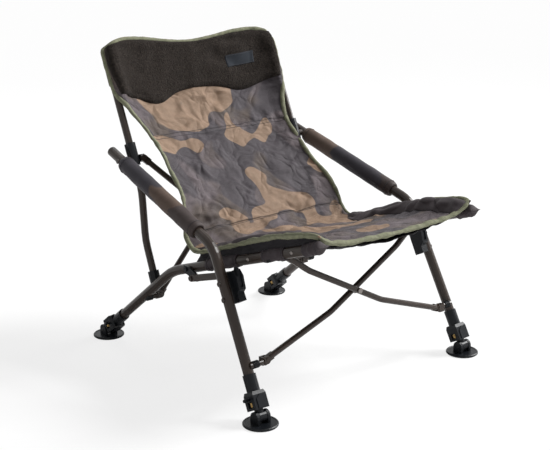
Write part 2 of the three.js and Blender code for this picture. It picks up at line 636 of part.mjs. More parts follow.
// Bracket bolted to the rail: an ear down to the stay's eye
function railBracket() {
  const bolt = onRail(stayBracket.boltY);
  const half = stayBracket.height / 2;
  const innerFace = bolt.x + frameTube.radius + 3 * clearance;
  const outline = [
    [bolt.y + half, bolt.z - half], [bolt.y + half, bolt.z + half], [bolt.y - half, bolt.z + half],
    [stay.rearY - half, stay.rearZ + half], [stay.rearY - half, stay.rearZ - half],
    [stay.rearY, stay.rearZ - half],
  ];
  const frame = new THREE.Matrix4().makeBasis(at(0, 1, 0), at(0, 0, 1), lateral.clone());
  const ear = plate(outline, stayBracket.plate).translate(0, 0, innerFace).applyMatrix4(frame);
  const outerFace = stay.innerX - 2 * clearance;
  const heads = [[bolt.y, bolt.z], [stay.rearY, stay.rearZ]].map(([y, z]) =>
    rod(at(innerFace, y, z), at(outerFace, y, z), stayBracket.boltRadius, stayBracket.ringSides));
  return join(ear, ...heads);
}

// Catch bolted to the inside of the front leg, with a slot that the stay passes through
const catchForward = at(0, -frontLegUp.z, frontLegUp.y).normalize();
const catchUp = at(0, frontLegUp.y, frontLegUp.z).normalize();
function catchPlate(outline, fromX, toX) {
  const origin = onFrontLeg(catchBody.boltLow);
  const frame = new THREE.Matrix4().makeBasis(catchForward, catchUp, lateral.clone().negate());
  frame.setPosition(at(toX, origin.y, origin.z));
  return plate(outline, toX - fromX).applyMatrix4(frame);
}
// The catch's outer face lies against the leg where the two come closest
const catchOuterX = onFrontLeg(catchBody.boltHigh + catchBody.topRise).x - frameTube.radius - clearance;
const triggerBack = catchBody.noseReach + 3 * clearance;
function triggerPin(radius) {
  const centre = [triggerBack + trigger.thickness / 2, trigger.pivotRise];
  const turn = (2 * Math.PI) / trigger.sides;
  const ring = Array.from({ length: trigger.sides }, (_, i) =>
    [centre[0] + radius * Math.cos(i * turn), centre[1] + radius * Math.sin(i * turn)]);
  return catchPlate(ring, catchBody.innerX + clearance, catchOuterX - clearance);
}
function stayCatch() {
  const c = catchBody;
  const outline = [
    [-c.backReach, -c.footDrop], [c.noseReach, -c.footDrop], [c.noseReach, c.noseRise - c.cheekWall],
    [c.frontReach, c.noseRise], [c.frontReach + c.cheekWall, trigger.pivotRise + trigger.length / 2],
    [c.frontReach, c.topRise], [-c.backReach, c.topRise],
  ];
  const body = catchPlate(outline, c.innerX, catchOuterX);
  const slotLow = trigger.pivotRise - trigger.tail - 3 * clearance;
  const slotFront = c.frontReach + c.cheekWall + overrun;
  const slotHigh = c.topRise + overrun;
  const slot = catchPlate(
    [[c.noseReach, slotLow], [slotFront, slotLow], [slotFront, slotHigh], [c.noseReach, slotHigh]],
    c.innerX + c.cheekWall, catchOuterX - c.cheekWall);
  return cut(body, stayBar(clearance), slot, triggerPin(trigger.pinRadius + clearance));
}
function boltHeads() {
  return [catchBody.boltLow, catchBody.boltHigh].map((z) => {
    const centre = onFrontLeg(z);
    return rod(centre.clone(), centre.clone().setX(centre.x + frameTube.radius + catchBody.boltHead),
      catchBody.boltRadius, stay.sides);
  });
}

// Trigger lever in the catch's front, hinged across it near its lower end
function catchTrigger() {
  const t = trigger;
  const front = triggerBack + t.thickness;
  const top = t.pivotRise + t.length;
  const outline = [
    [triggerBack, t.pivotRise - t.tail], [front, t.pivotRise - t.tail],
    [front + t.curl / 2, t.pivotRise + t.curl], [front + t.curl, top],
    [triggerBack + t.curl, top + t.thickness / 2], [triggerBack, top - t.thickness],
  ];
  const wall = catchBody.cheekWall + clearance;
  const lever = catchPlate(outline, catchBody.innerX + wall, catchOuterX - wall);
  return join(lever, triggerPin(t.pinRadius));
}

// Sling surface: the edge and centre curves meet through a flat middle and steep sides
const edgePoints = slingPlaceShares.map(([half, y, z]) =>
  at(half * sling.halfWidth, y * sling.reach, z * sling.height));
const midPoints = slingPlaceShares.map(([, , , y, z]) => at(0, y * sling.reach, z * sling.height));
const edgeCurve = new THREE.CatmullRomCurve3(edgePoints, false, 'centripetal');
const midCurve = new THREE.CatmullRomCurve3(midPoints, false, 'centripetal');
const lastPlace = slingPlaceShares.length - 1;
function slingPoint(u, place) {
  const edge = edgeCurve.getPoint(place / lastPlace);
  const mid = midCurve.getPoint(place / lastPlace);
  const border = sling.pocketBorder * THREE.MathUtils.clamp(place - sling.pocketPlace, 0, 1);
  const share = Math.min(1, Math.abs(u) / (1 - border));
  const blend = sling.flatShare * share * share + (1 - sling.flatShare) * share ** sling.wallPower;
  const point = mid.lerp(edge, blend).setX(edge.x * u);
  const turned = Math.max(0, Math.abs(u) - slingPocket.turnShare) / (1 - slingPocket.turnShare);
  const inPocket = THREE.MathUtils.smoothstep(place - slingPocket.fromPlace, 0, slingPocket.run);
  point.y += slingPocket.turnDepth * inPocket * turned * turned;
  const topShare = Math.max(0, place - lastPlace + 1);
  const across = Math.min(Math.abs(u), sling.peakShare) / sling.peakShare;
  const fall = Math.max(0, Math.abs(u) - sling.peakShare) / (1 - sling.peakShare);
  point.z += topShare * sling.peakRise * Math.sin((Math.PI / 2) * across) ** 2 * (1 - fall * fall);
  return point;
}
function slingNormal(u, place) {
  const small = 1e-3;
  const across = slingPoint(u + small, place).sub(slingPoint(u - small, place));
  const from = Math.max(0, place - small);
  const to = Math.min(lastPlace, place + small);
  const along = slingPoint(u, to).sub(slingPoint(u, from));
  return across.cross(along).normalize();
}
function slingThickness(u, place) {
  const ends = THREE.MathUtils.smoothstep(Math.min(place, lastPlace - place), 0, sling.endRun);
  const body = sling.edgeThickness + (sling.midThickness - sling.edgeThickness) * (1 - u * u) * ends;
  const seam = [sling.foldSeamPlace, sling.backSeamPlace]
    .map((line) => Math.exp(-(((place - line) / sling.seamReach) ** 2))).reduce((sum, dip) => sum + dip);
  return Math.max(sling.edgeThickness / 2, body - sling.seamDip * seam);
}
// The padded roll along each side of the seat
function sideRoll(u, place) {
  const across = Math.max(0, Math.abs(u) - sling.bolsterShare) / (1 - sling.bolsterShare);
  const along = THREE.MathUtils.smoothstep(sling.bolsterEnd - place, 0, sling.bolsterRun);
  return sling.bolster * along * Math.sin(Math.PI * across);
}
// The main folds that the pull of the frame leaves in the cloth
function mainFolds(u, place) {
  const spread = sling.foldSpreadShare;
  return slingFoldShares.reduce((sum, [fromU, fromPlace, toU, toPlace, height]) => {
    const run = new THREE.Vector2((toU - fromU) * spread, toPlace - fromPlace);
    const from = new THREE.Vector2((u - fromU) * spread, place - fromPlace);
    const along = THREE.MathUtils.clamp(from.dot(run) / run.lengthSq(), 0, 1);
    const beside = from.cross(run) / run.length() / sling.foldWidthShare;
    return sum + sling.foldHeight * height * Math.sin(Math.PI * along) * Math.exp(-(beside ** 2));
  }, 0);
}
const slingFront = (u, place) => sideRoll(u, place) + mainFolds(u, place);

// A closed padded sheet between two offsets of the sling surface; a row's place may change across it
function paddedSheet(columnShares, rowPlaces, frontOffset, backOffset) {
  const positions = [];
  const columns = columnShares.length;
  const rows = rowPlaces.length;
  for (const offset of [frontOffset, backOffset]) {
    for (const placeAt of rowPlaces) {
      for (const u of columnShares) {
        const place = placeAt(u);
        const p = slingPoint(u, place).addScaledVector(slingNormal(u, place), offset(u, place));
        positions.push(p.x, p.y, p.z);
      }
    }
  }
  const front = (r, c) => r * columns + c;
  const back = (r, c) => rows * columns + r * columns + c;
  const faces = [];
  const quad = (a, b, c, d) => faces.push(a, b, c, a, c, d);
  for (let r = 0; r < rows - 1; r++) {
    for (let c = 0; c < columns - 1; c++) {
      quad(front(r, c), front(r, c + 1), front(r + 1, c + 1), front(r + 1, c));
      quad(back(r, c), back(r + 1, c), back(r + 1, c + 1), back(r, c + 1));
    }
    quad(front(r, 0), front(r + 1, 0), back(r + 1, 0), back(r, 0));
    quad(front(r, columns - 1), back(r, columns - 1), back(r + 1, columns - 1), front(r + 1, columns - 1));
  }
  for (let c = 0; c < columns - 1; c++) {
    quad(front(0, c), back(0, c), back(0, c + 1), front(0, c + 1));
    quad(front(rows - 1, c), front(rows - 1, c + 1), back(rows - 1, c + 1), back(rows - 1, c));
  }
  const geometry = new THREE.BufferGeometry();
  geometry.setAttribute('position', new THREE.Float32BufferAttribute(positions, 3));
  geometry.setIndex(faces);
  return geometry;
}
const columnShares = [...slingHalfColumnShares.map((u) => -u).reverse(), 0, ...slingHalfColumnShares];
const straightRows = (places) => places.map((place) => () => place);
const slingSheet = () => {
  const sheet = paddedSheet(
    columnShares, straightRows(slingRowPlaces), slingFront, (u, place) => -slingThickness(u, place));
  const bottom = onUpright(slingPocket.fromZ);
  const top = onUpright(upright.topZ).addScaledVector(uprightUp, clearance);
  const bore = uprightTube.radius + clearance;
  const outer = rod(
    bottom, top.clone().addScaledVector(uprightUp, slingPocket.wall), bore + slingPocket.wall,
    slingPocket.sides);
  const inner = rod(collarCentre, top, bore, uprightTube.sides);
  return cut(join(sheet, outer, mirrored(outer)), inner, mirrored(inner));
};
const headPadSheet = () => {
  const low = (u) => headPad.lowPlace
    - headPad.wave * Math.exp(-(((Math.abs(u) - headPad.wavePeakShare) / headPad.waveReachShare) ** 2));
  const top = lastPlace * headPad.topShare;
  const columns = columnShares.map((u) => u * headPad.widthShare);
  const rows = headPadRowShares.map((share) => (u) => low(u) + (top - low(u)) * share);
  const bulge = (u, place) => {
    const rise = Math.sin((Math.PI * (place - low(u))) / (top - low(u)));
    return headPad.gap + headPad.edgeThickness
      + (headPad.thickness - headPad.edgeThickness) * Math.max(0, rise) ** 0.5 * (1 - u ** 8);
  };
  const blank = paddedSheet(columns, rows, bulge, () => -overrun);
  const behind = paddedSheet(
    columnShares, straightRows(slingRowPlaces), (u, place) => slingFront(u, place) + headPad.gap,
    () => -sling.midThickness);
  return cut(blank, behind);
};
const underlaySheet = () => {
  const rows = slingRowPlaces.filter((place) => place >= underlay.fromPlace && place <= underlay.toPlace);
  const columns = columnShares.filter((u) => Math.abs(u) < underlay.widthShare);
  const below = (u, place) => -slingThickness(u, place) - underlay.gap;
  return paddedSheet(columns, straightRows(rows), below, (u, place) => below(u, place) - underlay.thickness);
};

// Cloth sleeve round the rail, with a fin up to the sling's edge
function railSleeve({ fromY, toY, closed }) {
  const from = onRail(fromY);
  const to = onRail(toY);
  const outer = rod(from, to, frameTube.radius + clearance + sleeve.wall, sleeve.sides);
  const along = to.clone().sub(from);
  const overrunAlong = along.clone().normalize().multiplyScalar(overrun);
  const boreFrom = closed ? onRail(fromY + sleeve.endWall) : from.clone().sub(overrunAlong);
  const bore = rod(boreFrom, to.clone().add(overrunAlong), frameTube.radius + clearance, frameTube.sides);
  const fin = box(sleeve.finThickness, along.length(), sleeve.finTop).translate(0, 0, sleeve.finTop / 2);
  const up = lateral.clone().cross(along).normalize();
  const middle = from.clone().add(to).multiplyScalar(0.5);
  const frame = new THREE.Matrix4().makeBasis(
    along.clone().normalize().cross(up), along.clone().normalize(), up).setPosition(middle);
  fin.translate(sleeve.finShift, 0, 0).applyMatrix4(frame);
  const stubPoint = at(0, frontPlane.high, 0).applyMatrix4(frontPlane.frame);
  const stubSpace = rod(
    stubPoint, stubPoint.clone().setX(railX(stubPoint.y)), fork.stubRadius + clearance, fork.stubSides);
  return cut(join(outer, fin), bore, stubSpace);
}

// The chair
pair('side_rail', sideRail(), 'taupe_tube');
pair('front_leg_arm', frontLegArm(), 'taupe_tube');
pair('arm_end_plug', armEndPlug(), 'black_plastic');
pair('arm_pad', armPad(), 'pad_neoprene');
pair('back_upright', backUpright(), 'taupe_tube');
pair('upright_socket', uprightSocket(), 'black_plastic');
for (const [place, pivot, up] of [['front', frontPivot, frontLegUp], ['rear', rearPivot, rearLegUp]]) {
  pair(`${place}_leg_lock`, legLock(pivot, up), 'black_plastic');
  pair(`${place}_release_pin`, releasePin(pivot, up), 'black_plastic');
  pair(`${place}_inner_leg`, telescopicLeg(pivot, up), 'black_plastic');
  pair(`${place}_foot`, mudFoot(pivot), 'black_plastic');
}
// The bar from upper left to lower right lies in front; its pair lies behind
const frontCorners = [
  [frontCross.lowerX, frontPlane.low], [frontCross.bendX, -frontCross.bendDrop],
  [-frontCross.highBendX, frontCross.highBendRise], [-frontCross.upperX, frontPlane.high],
];
const flip = (corners) => corners.map(([x, h]) => [-x, h]);
piece('front_brace_ahead', braceBar(frontCorners, brace.offset, brace.bendRadius, true, true)
  .applyMatrix4(frontPlane.frame), 'taupe_tube');
piece('front_brace_behind', braceBar(flip(frontCorners), -brace.offset, brace.bendRadius, true, true)
  .applyMatrix4(frontPlane.frame), 'taupe_tube');
piece('front_brace_rivet', crossRivet(frontPlane), 'rivet_steel');
const rearCorners = [
  [rearCross.lowerX, rearPlane.low], [rearCross.lowBendX, -rearCross.lowBendDrop],
  [-rearCross.highBendX, rearCross.highBendRise], [-rearCross.upperX, rearPlane.high],
];
piece('rear_brace_ahead', braceBar(rearCorners, brace.offset, brace.bendRadius, true, false)
  .applyMatrix4(rearPlane.frame), 'taupe_tube');
piece('rear_brace_behind', braceBar(flip(rearCorners), -brace.offset, brace.bendRadius, true, false)
  .applyMatrix4(rearPlane.frame), 'taupe_tube');
piece('rear_brace_rivet', crossRivet(rearPlane), 'rivet_steel');
const lowerFork = (side) => braceFork(frontPlane, frontCross.lowerX, frontPlane.low, side, true);
const upperFork = (side) => braceFork(frontPlane, frontCross.upperX, frontPlane.high, side, true);
const rearFork = (side, withPin) => braceFork(rearPlane, rearCross.lowerX, rearPlane.low, side, withPin);
piece('lower_fork_right', lowerFork(1), 'taupe_tube');
piece('lower_fork_left', mirrored(lowerFork(-1)), 'taupe_tube');
piece('upper_fork_right', upperFork(-1), 'taupe_tube');
piece('upper_fork_left', mirrored(upperFork(1)), 'taupe_tube');
piece('rear_fork_right', rearFork(1, false), 'taupe_tube');
piece('rear_fork_left', mirrored(rearFork(-1, true)), 'taupe_tube');
piece('arm_collar_right', armCollar(-brace.offset), 'black_plastic');
piece('arm_collar_left', mirrored(armCollar(brace.offset)), 'black_plastic');
pair('side_stay', sideStay(), 'taupe_tube');
pair('stay_bracket', railBracket(), 'black_plastic');
pair('stay_catch', stayCatch(), 'black_plastic');
pair('catch_trigger', catchTrigger(), 'black_plastic');
piece('sling_panel', slingSheet(), 'camo_cloth');
piece('head_pad', headPadSheet(), 'fleece');
piece('seat_underlay', underlaySheet(), 'dark_cloth');
for (const span of sleeveSpans) pair(`rail_sleeve_${span.place}`, railSleeve(span), 'dark_cloth');

// Set the origin to the middle of the base
chair.updateMatrixWorld(true);
const extent = new THREE.Box3().setFromObject(chair);
chair.position.set(-(extent.min.x + extent.max.x) / 2, -(extent.min.y + extent.max.y) / 2, 0);

export default chair;
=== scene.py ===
"""Dressed model of the low folding fishing chair: fabric, finishes, light and camera, in metres."""
import json
import math

import bpy
import numpy as np
from mathutils import Matrix, Vector


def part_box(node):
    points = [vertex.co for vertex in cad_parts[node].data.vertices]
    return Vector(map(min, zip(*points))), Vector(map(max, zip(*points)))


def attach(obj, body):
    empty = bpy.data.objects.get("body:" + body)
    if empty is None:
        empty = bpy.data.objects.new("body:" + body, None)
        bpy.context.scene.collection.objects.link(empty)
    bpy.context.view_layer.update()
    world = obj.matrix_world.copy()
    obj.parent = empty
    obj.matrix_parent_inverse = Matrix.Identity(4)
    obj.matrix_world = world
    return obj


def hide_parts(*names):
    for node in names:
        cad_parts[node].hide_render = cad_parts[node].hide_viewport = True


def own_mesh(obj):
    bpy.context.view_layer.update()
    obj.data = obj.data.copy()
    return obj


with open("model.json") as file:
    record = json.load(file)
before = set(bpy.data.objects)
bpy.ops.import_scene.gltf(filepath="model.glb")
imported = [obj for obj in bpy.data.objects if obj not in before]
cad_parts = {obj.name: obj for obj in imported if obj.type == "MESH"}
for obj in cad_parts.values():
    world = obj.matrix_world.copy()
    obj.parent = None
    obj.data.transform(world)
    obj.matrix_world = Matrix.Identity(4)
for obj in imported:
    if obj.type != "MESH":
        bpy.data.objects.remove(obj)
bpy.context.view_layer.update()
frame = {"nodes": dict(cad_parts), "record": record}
nodes = frame["nodes"]
rng = np.random.default_rng(7)

# The part's source is centred on its base by this much along Y, in metres
SHIFT = np.array([0.0, -0.010795, 0.0])
SIDES = ((-1, "left"), (1, "right"))
LEFT = "rail_frame_left"


def mm(points):
    """Points of the part's source, in millimetres, as metres in the row frame."""
    return np.asarray(points, float) / 1000 + SHIFT


# Shader helpers
def group(name, inputs, outputs, build):
    """A shader node group with the named inputs and outputs, filled in by build."""
    g = bpy.data.node_groups.new(name, "ShaderNodeTree")
    for n, kind, value in inputs:
        s = g.interface.new_socket(n, in_out="INPUT", socket_type=kind)
        if value is not None:
            s.default_value = value
    for n, kind in outputs:
        g.interface.new_socket(n, in_out="OUTPUT", socket_type=kind)
    build(g.nodes, g.links, g.nodes.new("NodeGroupInput"), g.nodes.new("NodeGroupOutput"))
    return g


def noise(nt, lk, vector, scale, detail=2.0, rough=0.5, distortion=0.0):
    """A noise value from 0 to 1 that changes over the vector."""
    n = nt.new("ShaderNodeTexNoise")
    n.inputs["Scale"].default_value = scale
    n.inputs["Detail"].default_value = detail
    n.inputs["Roughness"].default_value = rough
    n.inputs["Distortion"].default_value = distortion
    lk.new(vector, n.inputs["Vector"])
    return n.outputs["Fac"]


def math_node(nt, lk, op, a, b=None):
    """One sum, named by op, on sockets or numbers."""
    n = nt.new("ShaderNodeMath")
    n.operation = op
    for i, v in enumerate((a, b)):
        if v is None:
            continue
        if isinstance(v, (int, float)):
            n.inputs[i].default_value = v
        else:
            lk.new(v, n.inputs[i])
    return n.outputs[0]


def band(nt, lk, value, low, high, most=1.0):
    """A value between low and high as one between 0 and most, in a straight line and level outside."""
    n = nt.new("ShaderNodeMapRange")
    n.inputs["To Max"].default_value = most
    n.inputs["From Min"].default_value = low
    n.inputs["From Max"].default_value = high
    lk.new(value, n.inputs["Value"])
    return n.outputs["Result"]


def mix(nt, lk, fac, a, b):
    """Two colours mixed by a mask: none of it gives the first, all of it the second."""
    n = nt.new("ShaderNodeMix")
    n.data_type = "RGBA"
    lk.new(fac, n.inputs["Factor"])
    lk.new(a, n.inputs["A"])
    lk.new(b, n.inputs["B"])
    return n.outputs["Result"]


def vector_node(nt, lk, op, vector, other):
    """One sum on a vector: with another vector's socket, a fixed vector, or a fixed factor."""
    n = nt.new("ShaderNodeVectorMath")
    n.operation = op
    lk.new(vector, n.inputs[0])
    if op == "SCALE":
        n.inputs["Scale"].default_value = other
    elif isinstance(other, tuple):
        n.inputs[1].default_value = other
    else:
        lk.new(other, n.inputs[1])
    return n.outputs[0]


def varied(nt, lk, vector, colour, scale, amount):
    """A colour whose brightness runs amount/2 either side of its own with a noise."""
    n = nt.new("ShaderNodeHueSaturation")
    if isinstance(colour, tuple):
        n.inputs["Color"].default_value = (*colour, 1)
    else:
        lk.new(colour, n.inputs["Color"])
    value = math_node(nt, lk, "MULTIPLY", noise(nt, lk, vector, scale, detail=4.0, rough=0.6), amount)
    lk.new(math_node(nt, lk, "ADD", value, 1 - amount / 2), n.inputs["Value"])
    return n.outputs[0]


# The camouflage's noise fields: where each is read, and its scale, detail and roughness
CAMO_FIELDS = {
    "tone": ((3.1, 0.4, 0), 9.0, 1.5, 0.5),
    "slate": ((7.7, 2.3, 1), 8.6, 0.8, 0.4),
    "tan": ((5.2, 3.1, 2), 7.2, 1.0, 0.4),
    "spots": ((2.2, 6.6, 3), 10.0, 0.3, 0.3),
    "smoke": ((2.2, 5.1, 8), 26.0, 3.0, 0.6),
}
# The levels between which each field passes into its colour
TONE_BAND, SMOKE_BAND, SLATE_BAND, TAN_BAND = (0.44, 0.56), (0.46, 0.66), (0.535, 0.565), (0.602, 0.608)
SPOT_DROP, SMOKE_MOST = 0.035, 0.5
WANDER_SCALE, WANDER_DETAIL, WANDER_REACH = 17, 0.6, 0.030
FADE_SCALE, FADE_DETAIL, FADE_ROUGH, FADE_AMOUNT = 60, 4.0, 0.62, 0.6


def build_camo(nt, lk, gin, gout):
    """Rounded blotches over a smoky ground of three tones, on a cloth measured in metres.

    The cloth's vector wanders by a coarse noise, so outlines are rounded but uneven. Noise fields of it are
    cut at a level each and laid over one another: ground to earth, then slate, then tan where the higher of
    two fields passes. A fine noise fades the whole.
    """
    v = gin.outputs["Vector"]
    wander = nt.new("ShaderNodeTexNoise")
    wander.inputs["Scale"].default_value = WANDER_SCALE
    wander.inputs["Detail"].default_value = WANDER_DETAIL
    lk.new(v, wander.inputs["Vector"])
    moved = vector_node(nt, lk, "ADD", v, vector_node(nt, lk, "SCALE", wander.outputs["Color"], WANDER_REACH))

    def field(name, vector=moved):
        """One noise field of the camouflage, read at its own place."""
        place_at, scale, detail, rough = CAMO_FIELDS[name]
        return noise(nt, lk, vector_node(nt, lk, "ADD", vector, place_at), scale, detail, rough)

    spots = math_node(nt, lk, "SUBTRACT", field("spots"), SPOT_DROP)
    tan = math_node(nt, lk, "MAXIMUM", field("tan"), spots)
    base = mix(nt, lk, band(nt, lk, field("tone"), *TONE_BAND), gin.outputs["Ground"], gin.outputs["Earth"])
    base = mix(nt, lk, band(nt, lk, field("smoke", v), *SMOKE_BAND, SMOKE_MOST), base, gin.outputs["Slate"])
    base = mix(nt, lk, band(nt, lk, field("slate"), *SLATE_BAND), base, gin.outputs["Slate"])
    base = mix(nt, lk, band(nt, lk, tan, *TAN_BAND), base, gin.outputs["Tan"])
    fade = noise(nt, lk, v, FADE_SCALE, FADE_DETAIL, FADE_ROUGH)
    shade = nt.new("ShaderNodeHueSaturation")
    lk.new(base, shade.inputs["Color"])
    value = math_node(nt, lk, "MULTIPLY", fade, FADE_AMOUNT)
    lk.new(math_node(nt, lk, "ADD", value, 1 - FADE_AMOUNT / 2), shade.inputs["Value"])
    lk.new(shade.outputs[0], gout.inputs["Color"])


THREAD_WAVER, SLUB_SCALE, SLUB_SHARE = 0.4, 900, 0.6


def build_weave(nt, lk, gin, gout):
    """A plain weave's height: two crossed waves multiplied, and a little slub."""
    v = gin.outputs["Vector"]
    parts = []
    for direction in ("X", "Y"):
        wave = nt.new("ShaderNodeTexWave")
        wave.bands_direction = direction
        lk.new(gin.outputs["Scale"], wave.inputs["Scale"])
        wave.inputs["Distortion"].default_value = THREAD_WAVER
        lk.new(v, wave.inputs["Vector"])
        parts.append(wave.outputs["Fac"])
    cross = math_node(nt, lk, "MULTIPLY", *parts)
    slub = math_node(nt, lk, "MULTIPLY", noise(nt, lk, v, SLUB_SCALE), SLUB_SHARE)
    lk.new(math_node(nt, lk, "ADD", cross, slub), gout.inputs["Height"])


CAMO = group("camo", [
    ("Vector", "NodeSocketVector", None),
    ("Ground", "NodeSocketColor", (0.108, 0.088, 0.094, 1)),
    ("Earth", "NodeSocketColor", (0.084, 0.065, 0.056, 1)),
    ("Slate", "NodeSocketColor", (0.054, 0.046, 0.052, 1)),
    ("Tan", "NodeSocketColor", (0.245, 0.165, 0.112, 1)),
], [("Color", "NodeSocketColor")], build_camo)
WEAVE = group("weave", [
    ("Vector", "NodeSocketVector", None), ("Scale", "NodeSocketFloat", 120.0),
], [("Height", "NodeSocketFloat")], build_weave)
CRUMPLE_SCALE, CRUMPLE_DETAIL, CRUMPLE_RISE, WEAVE_RISE = 15, 2.2, 11.0, 0.12
SECTION_WANDER_SCALE, SECTION_WANDER = 22, 0.085


def placed(nt, lk, node_group, vector):
    """A shared node group set into a material and fed with its vector."""
    g = nt.new("ShaderNodeGroup")
    g.node_tree = node_group
    lk.new(vector, g.inputs["Vector"])
    return g


def section_colour(nt, lk, vector, sections):
    """Broad sections of colour along the piece, parted by wandering lines, with a blotchy brightness."""
    split = nt.new("ShaderNodeSeparateXYZ")
    lk.new(vector, split.inputs[0])
    wander = noise(nt, lk, vector, SECTION_WANDER_SCALE, detail=1.0, rough=0.4)
    wander = math_node(nt, lk, "MULTIPLY", wander, SECTION_WANDER)
    ramp = nt.new("ShaderNodeValToRGB")
    lk.new(math_node(nt, lk, "ADD", split.outputs["Y"], wander), ramp.inputs["Fac"])
    stops = ramp.color_ramp.elements
    for i, (at, colour) in enumerate(sections):
        e = stops[i] if i < 2 else stops.new(at)
        e.position, e.color = at, (*colour, 1)
    return varied(nt, lk, vector, ramp.outputs["Color"], scale=70, amount=0.5)


def bump_height(nt, lk, vector, kind, scale):
    """The height of a surface: a fine noise, or for cloth a weave with the ridges of a crumpled sheet.

    A ridge stands where a broad noise crosses its middle value: the height is how far the noise is from it.
    """
    if kind == "noise":
        return noise(nt, lk, vector, scale, detail=5.0, rough=0.65)
    weave = placed(nt, lk, WEAVE, vector)
    weave.inputs["Scale"].default_value = scale
    crumple = noise(nt, lk, vector, CRUMPLE_SCALE, CRUMPLE_DETAIL, distortion=0.5)
    ridge = math_node(nt, lk, "ABSOLUTE", math_node(nt, lk, "SUBTRACT", crumple, 0.5))
    return math_node(nt, lk, "ADD", math_node(nt, lk, "MULTIPLY", weave.outputs["Height"], WEAVE_RISE),
                     math_node(nt, lk, "MULTIPLY", ridge, CRUMPLE_RISE))


def material(name, base, rough, metal=0.0, bump=None, sheen=0.0, coords="Object", camo=False, tone=None,
             spec=0.5, sections=()):
    """One finish.

    base, rough, metal and spec are the shader's own. camo, sections, or tone (scale, amount) give the colour
    its changes over the surface, and bump is (kind, scale, strength, distance in metres).
    """
    m = bpy.data.materials.new(name)
    m.use_nodes = True
    nt, lk = m.node_tree.nodes, m.node_tree.links
    p = nt["Principled BSDF"]
    p.inputs["Base Color"].default_value = (*base, 1)
    p.inputs["Roughness"].default_value = rough
    p.inputs["Metallic"].default_value = metal
    p.inputs["Specular IOR Level"].default_value = spec
    if sheen:
        p.inputs["Sheen Weight"].default_value = sheen
        p.inputs["Sheen Roughness"].default_value = 0.6
        p.inputs["Sheen Tint"].default_value = (0.8, 0.75, 0.72, 1)
    c = nt.new("ShaderNodeTexCoord").outputs[coords]
    if camo:
        lk.new(placed(nt, lk, CAMO, c).outputs["Color"], p.inputs["Base Color"])
    if sections:
        lk.new(section_colour(nt, lk, c, sections), p.inputs["Base Color"])
    if tone:
        lk.new(varied(nt, lk, c, base, *tone), p.inputs["Base Color"])
    if bump:
        kind, scale, strength, distance = bump
        b = nt.new("ShaderNodeBump")
        b.inputs["Strength"].default_value = strength
        b.inputs["Distance"].default_value = distance
        lk.new(bump_height(nt, lk, c, kind, scale), b.inputs["Height"])
        lk.new(b.outputs["Normal"], p.inputs["Normal"])
    return m


def cloth_material(name, base, rough, bump, **more):
    """A woven finish that follows the piece's own UV map, in metres of cloth."""
    return material(name, base, rough, bump=("cloth", *bump), coords="UV", **more)


TUBE = material("powder_coat", (0.034, 0.024, 0.019), 0.29, bump=("noise", 1400, 0.2, 0.0003),
                tone=(30, 0.12), spec=0.26)
PLASTIC = material("black_plastic", (0.0052, 0.0062, 0.0080), 0.37, bump=("noise", 1100, 0.2, 0.0002),
                   tone=(60, 0.3), spec=0.17)
STEEL = material("rivet_steel", (0.20, 0.18, 0.17), 0.3, metal=0.95, bump=("noise", 900, 0.15, 0.0002))
BRASS = material("brass", (0.62, 0.42, 0.17), 0.28, metal=1.0)
CLOTH = cloth_material("camo_cloth", (0.1, 0.1, 0.1), 0.7, (300, 0.8, 0.0026), camo=True, spec=0.3)
FLEECE = material("fleece", (0.0235, 0.0185, 0.0155), 1.0, bump=("noise", 300, 1.0, 0.006), sheen=0.08,
                  tone=(200, 2.6), spec=0.05)
DARK = cloth_material("dark_cloth", (0.0130, 0.0115, 0.0135), 0.8, (230, 0.5, 0.0010), spec=0.25)
ROLL = cloth_material("roll_cloth", (0.034, 0.026, 0.029), 0.74, (260, 0.3, 0.0010), tone=(30, 0.5), spec=0.3)
BINDING = cloth_material("binding", (0.178, 0.182, 0.118), 0.8, (420, 0.6, 0.0008), tone=(120, 1.3),
                         spec=0.25)
PATCH = cloth_material("sewn_patch", (0.026, 0.030, 0.037), 0.85, (420, 0.3, 0.0005), tone=(60, 0.25),
                       spec=0.12)
THREAD = material("thread", (0.026, 0.023, 0.027), 0.75)

# Each arm pad has three sections of colour, which meet at the two given places along it, in metres
PAD_SLATE, PAD_BROWN, PAD_DARK = (0.024, 0.021, 0.027), (0.080, 0.053, 0.040), (0.038, 0.027, 0.025)
SEAM_BLUR = 0.004
PADS = {}
for side_name, first, second, a, b, c in (("left", 0.178, 0.262, PAD_SLATE, PAD_BROWN, PAD_DARK),
                                          ("right", 0.142, 0.315, PAD_BROWN, PAD_SLATE, PAD_DARK)):
    PADS[side_name] = cloth_material(
        f"pad_cloth_{side_name}", (0.1, 0.1, 0.1), 0.66, (300, 0.3, 0.0008), spec=0.3,
        sections=[(0, a), (first, a), (first + SEAM_BLUR, b), (second, b), (second + SEAM_BLUR, c)])

FINISH = {
    "taupe_tube": TUBE, "black_plastic": PLASTIC, "rivet_steel": STEEL, "camo_cloth": CLOTH,
    "fleece": FLEECE, "dark_cloth": DARK, "pad_neoprene": PADS["left"],
}
SHARP_EDGE = math.radians(33)
slot_of = {s["node"]: s["material_slot"] for s in frame["record"]["subparts"]}
for name, node in nodes.items():
    node.data.materials.clear()
    node.data.materials.append(FINISH[slot_of[name]])
    node.data.polygons.foreach_set("use_smooth", np.ones(len(node.data.polygons), bool))
    if slot_of[name] != "camo_cloth":
        node.modifiers.new("edge", "EDGE_SPLIT").split_angle = SHARP_EDGE


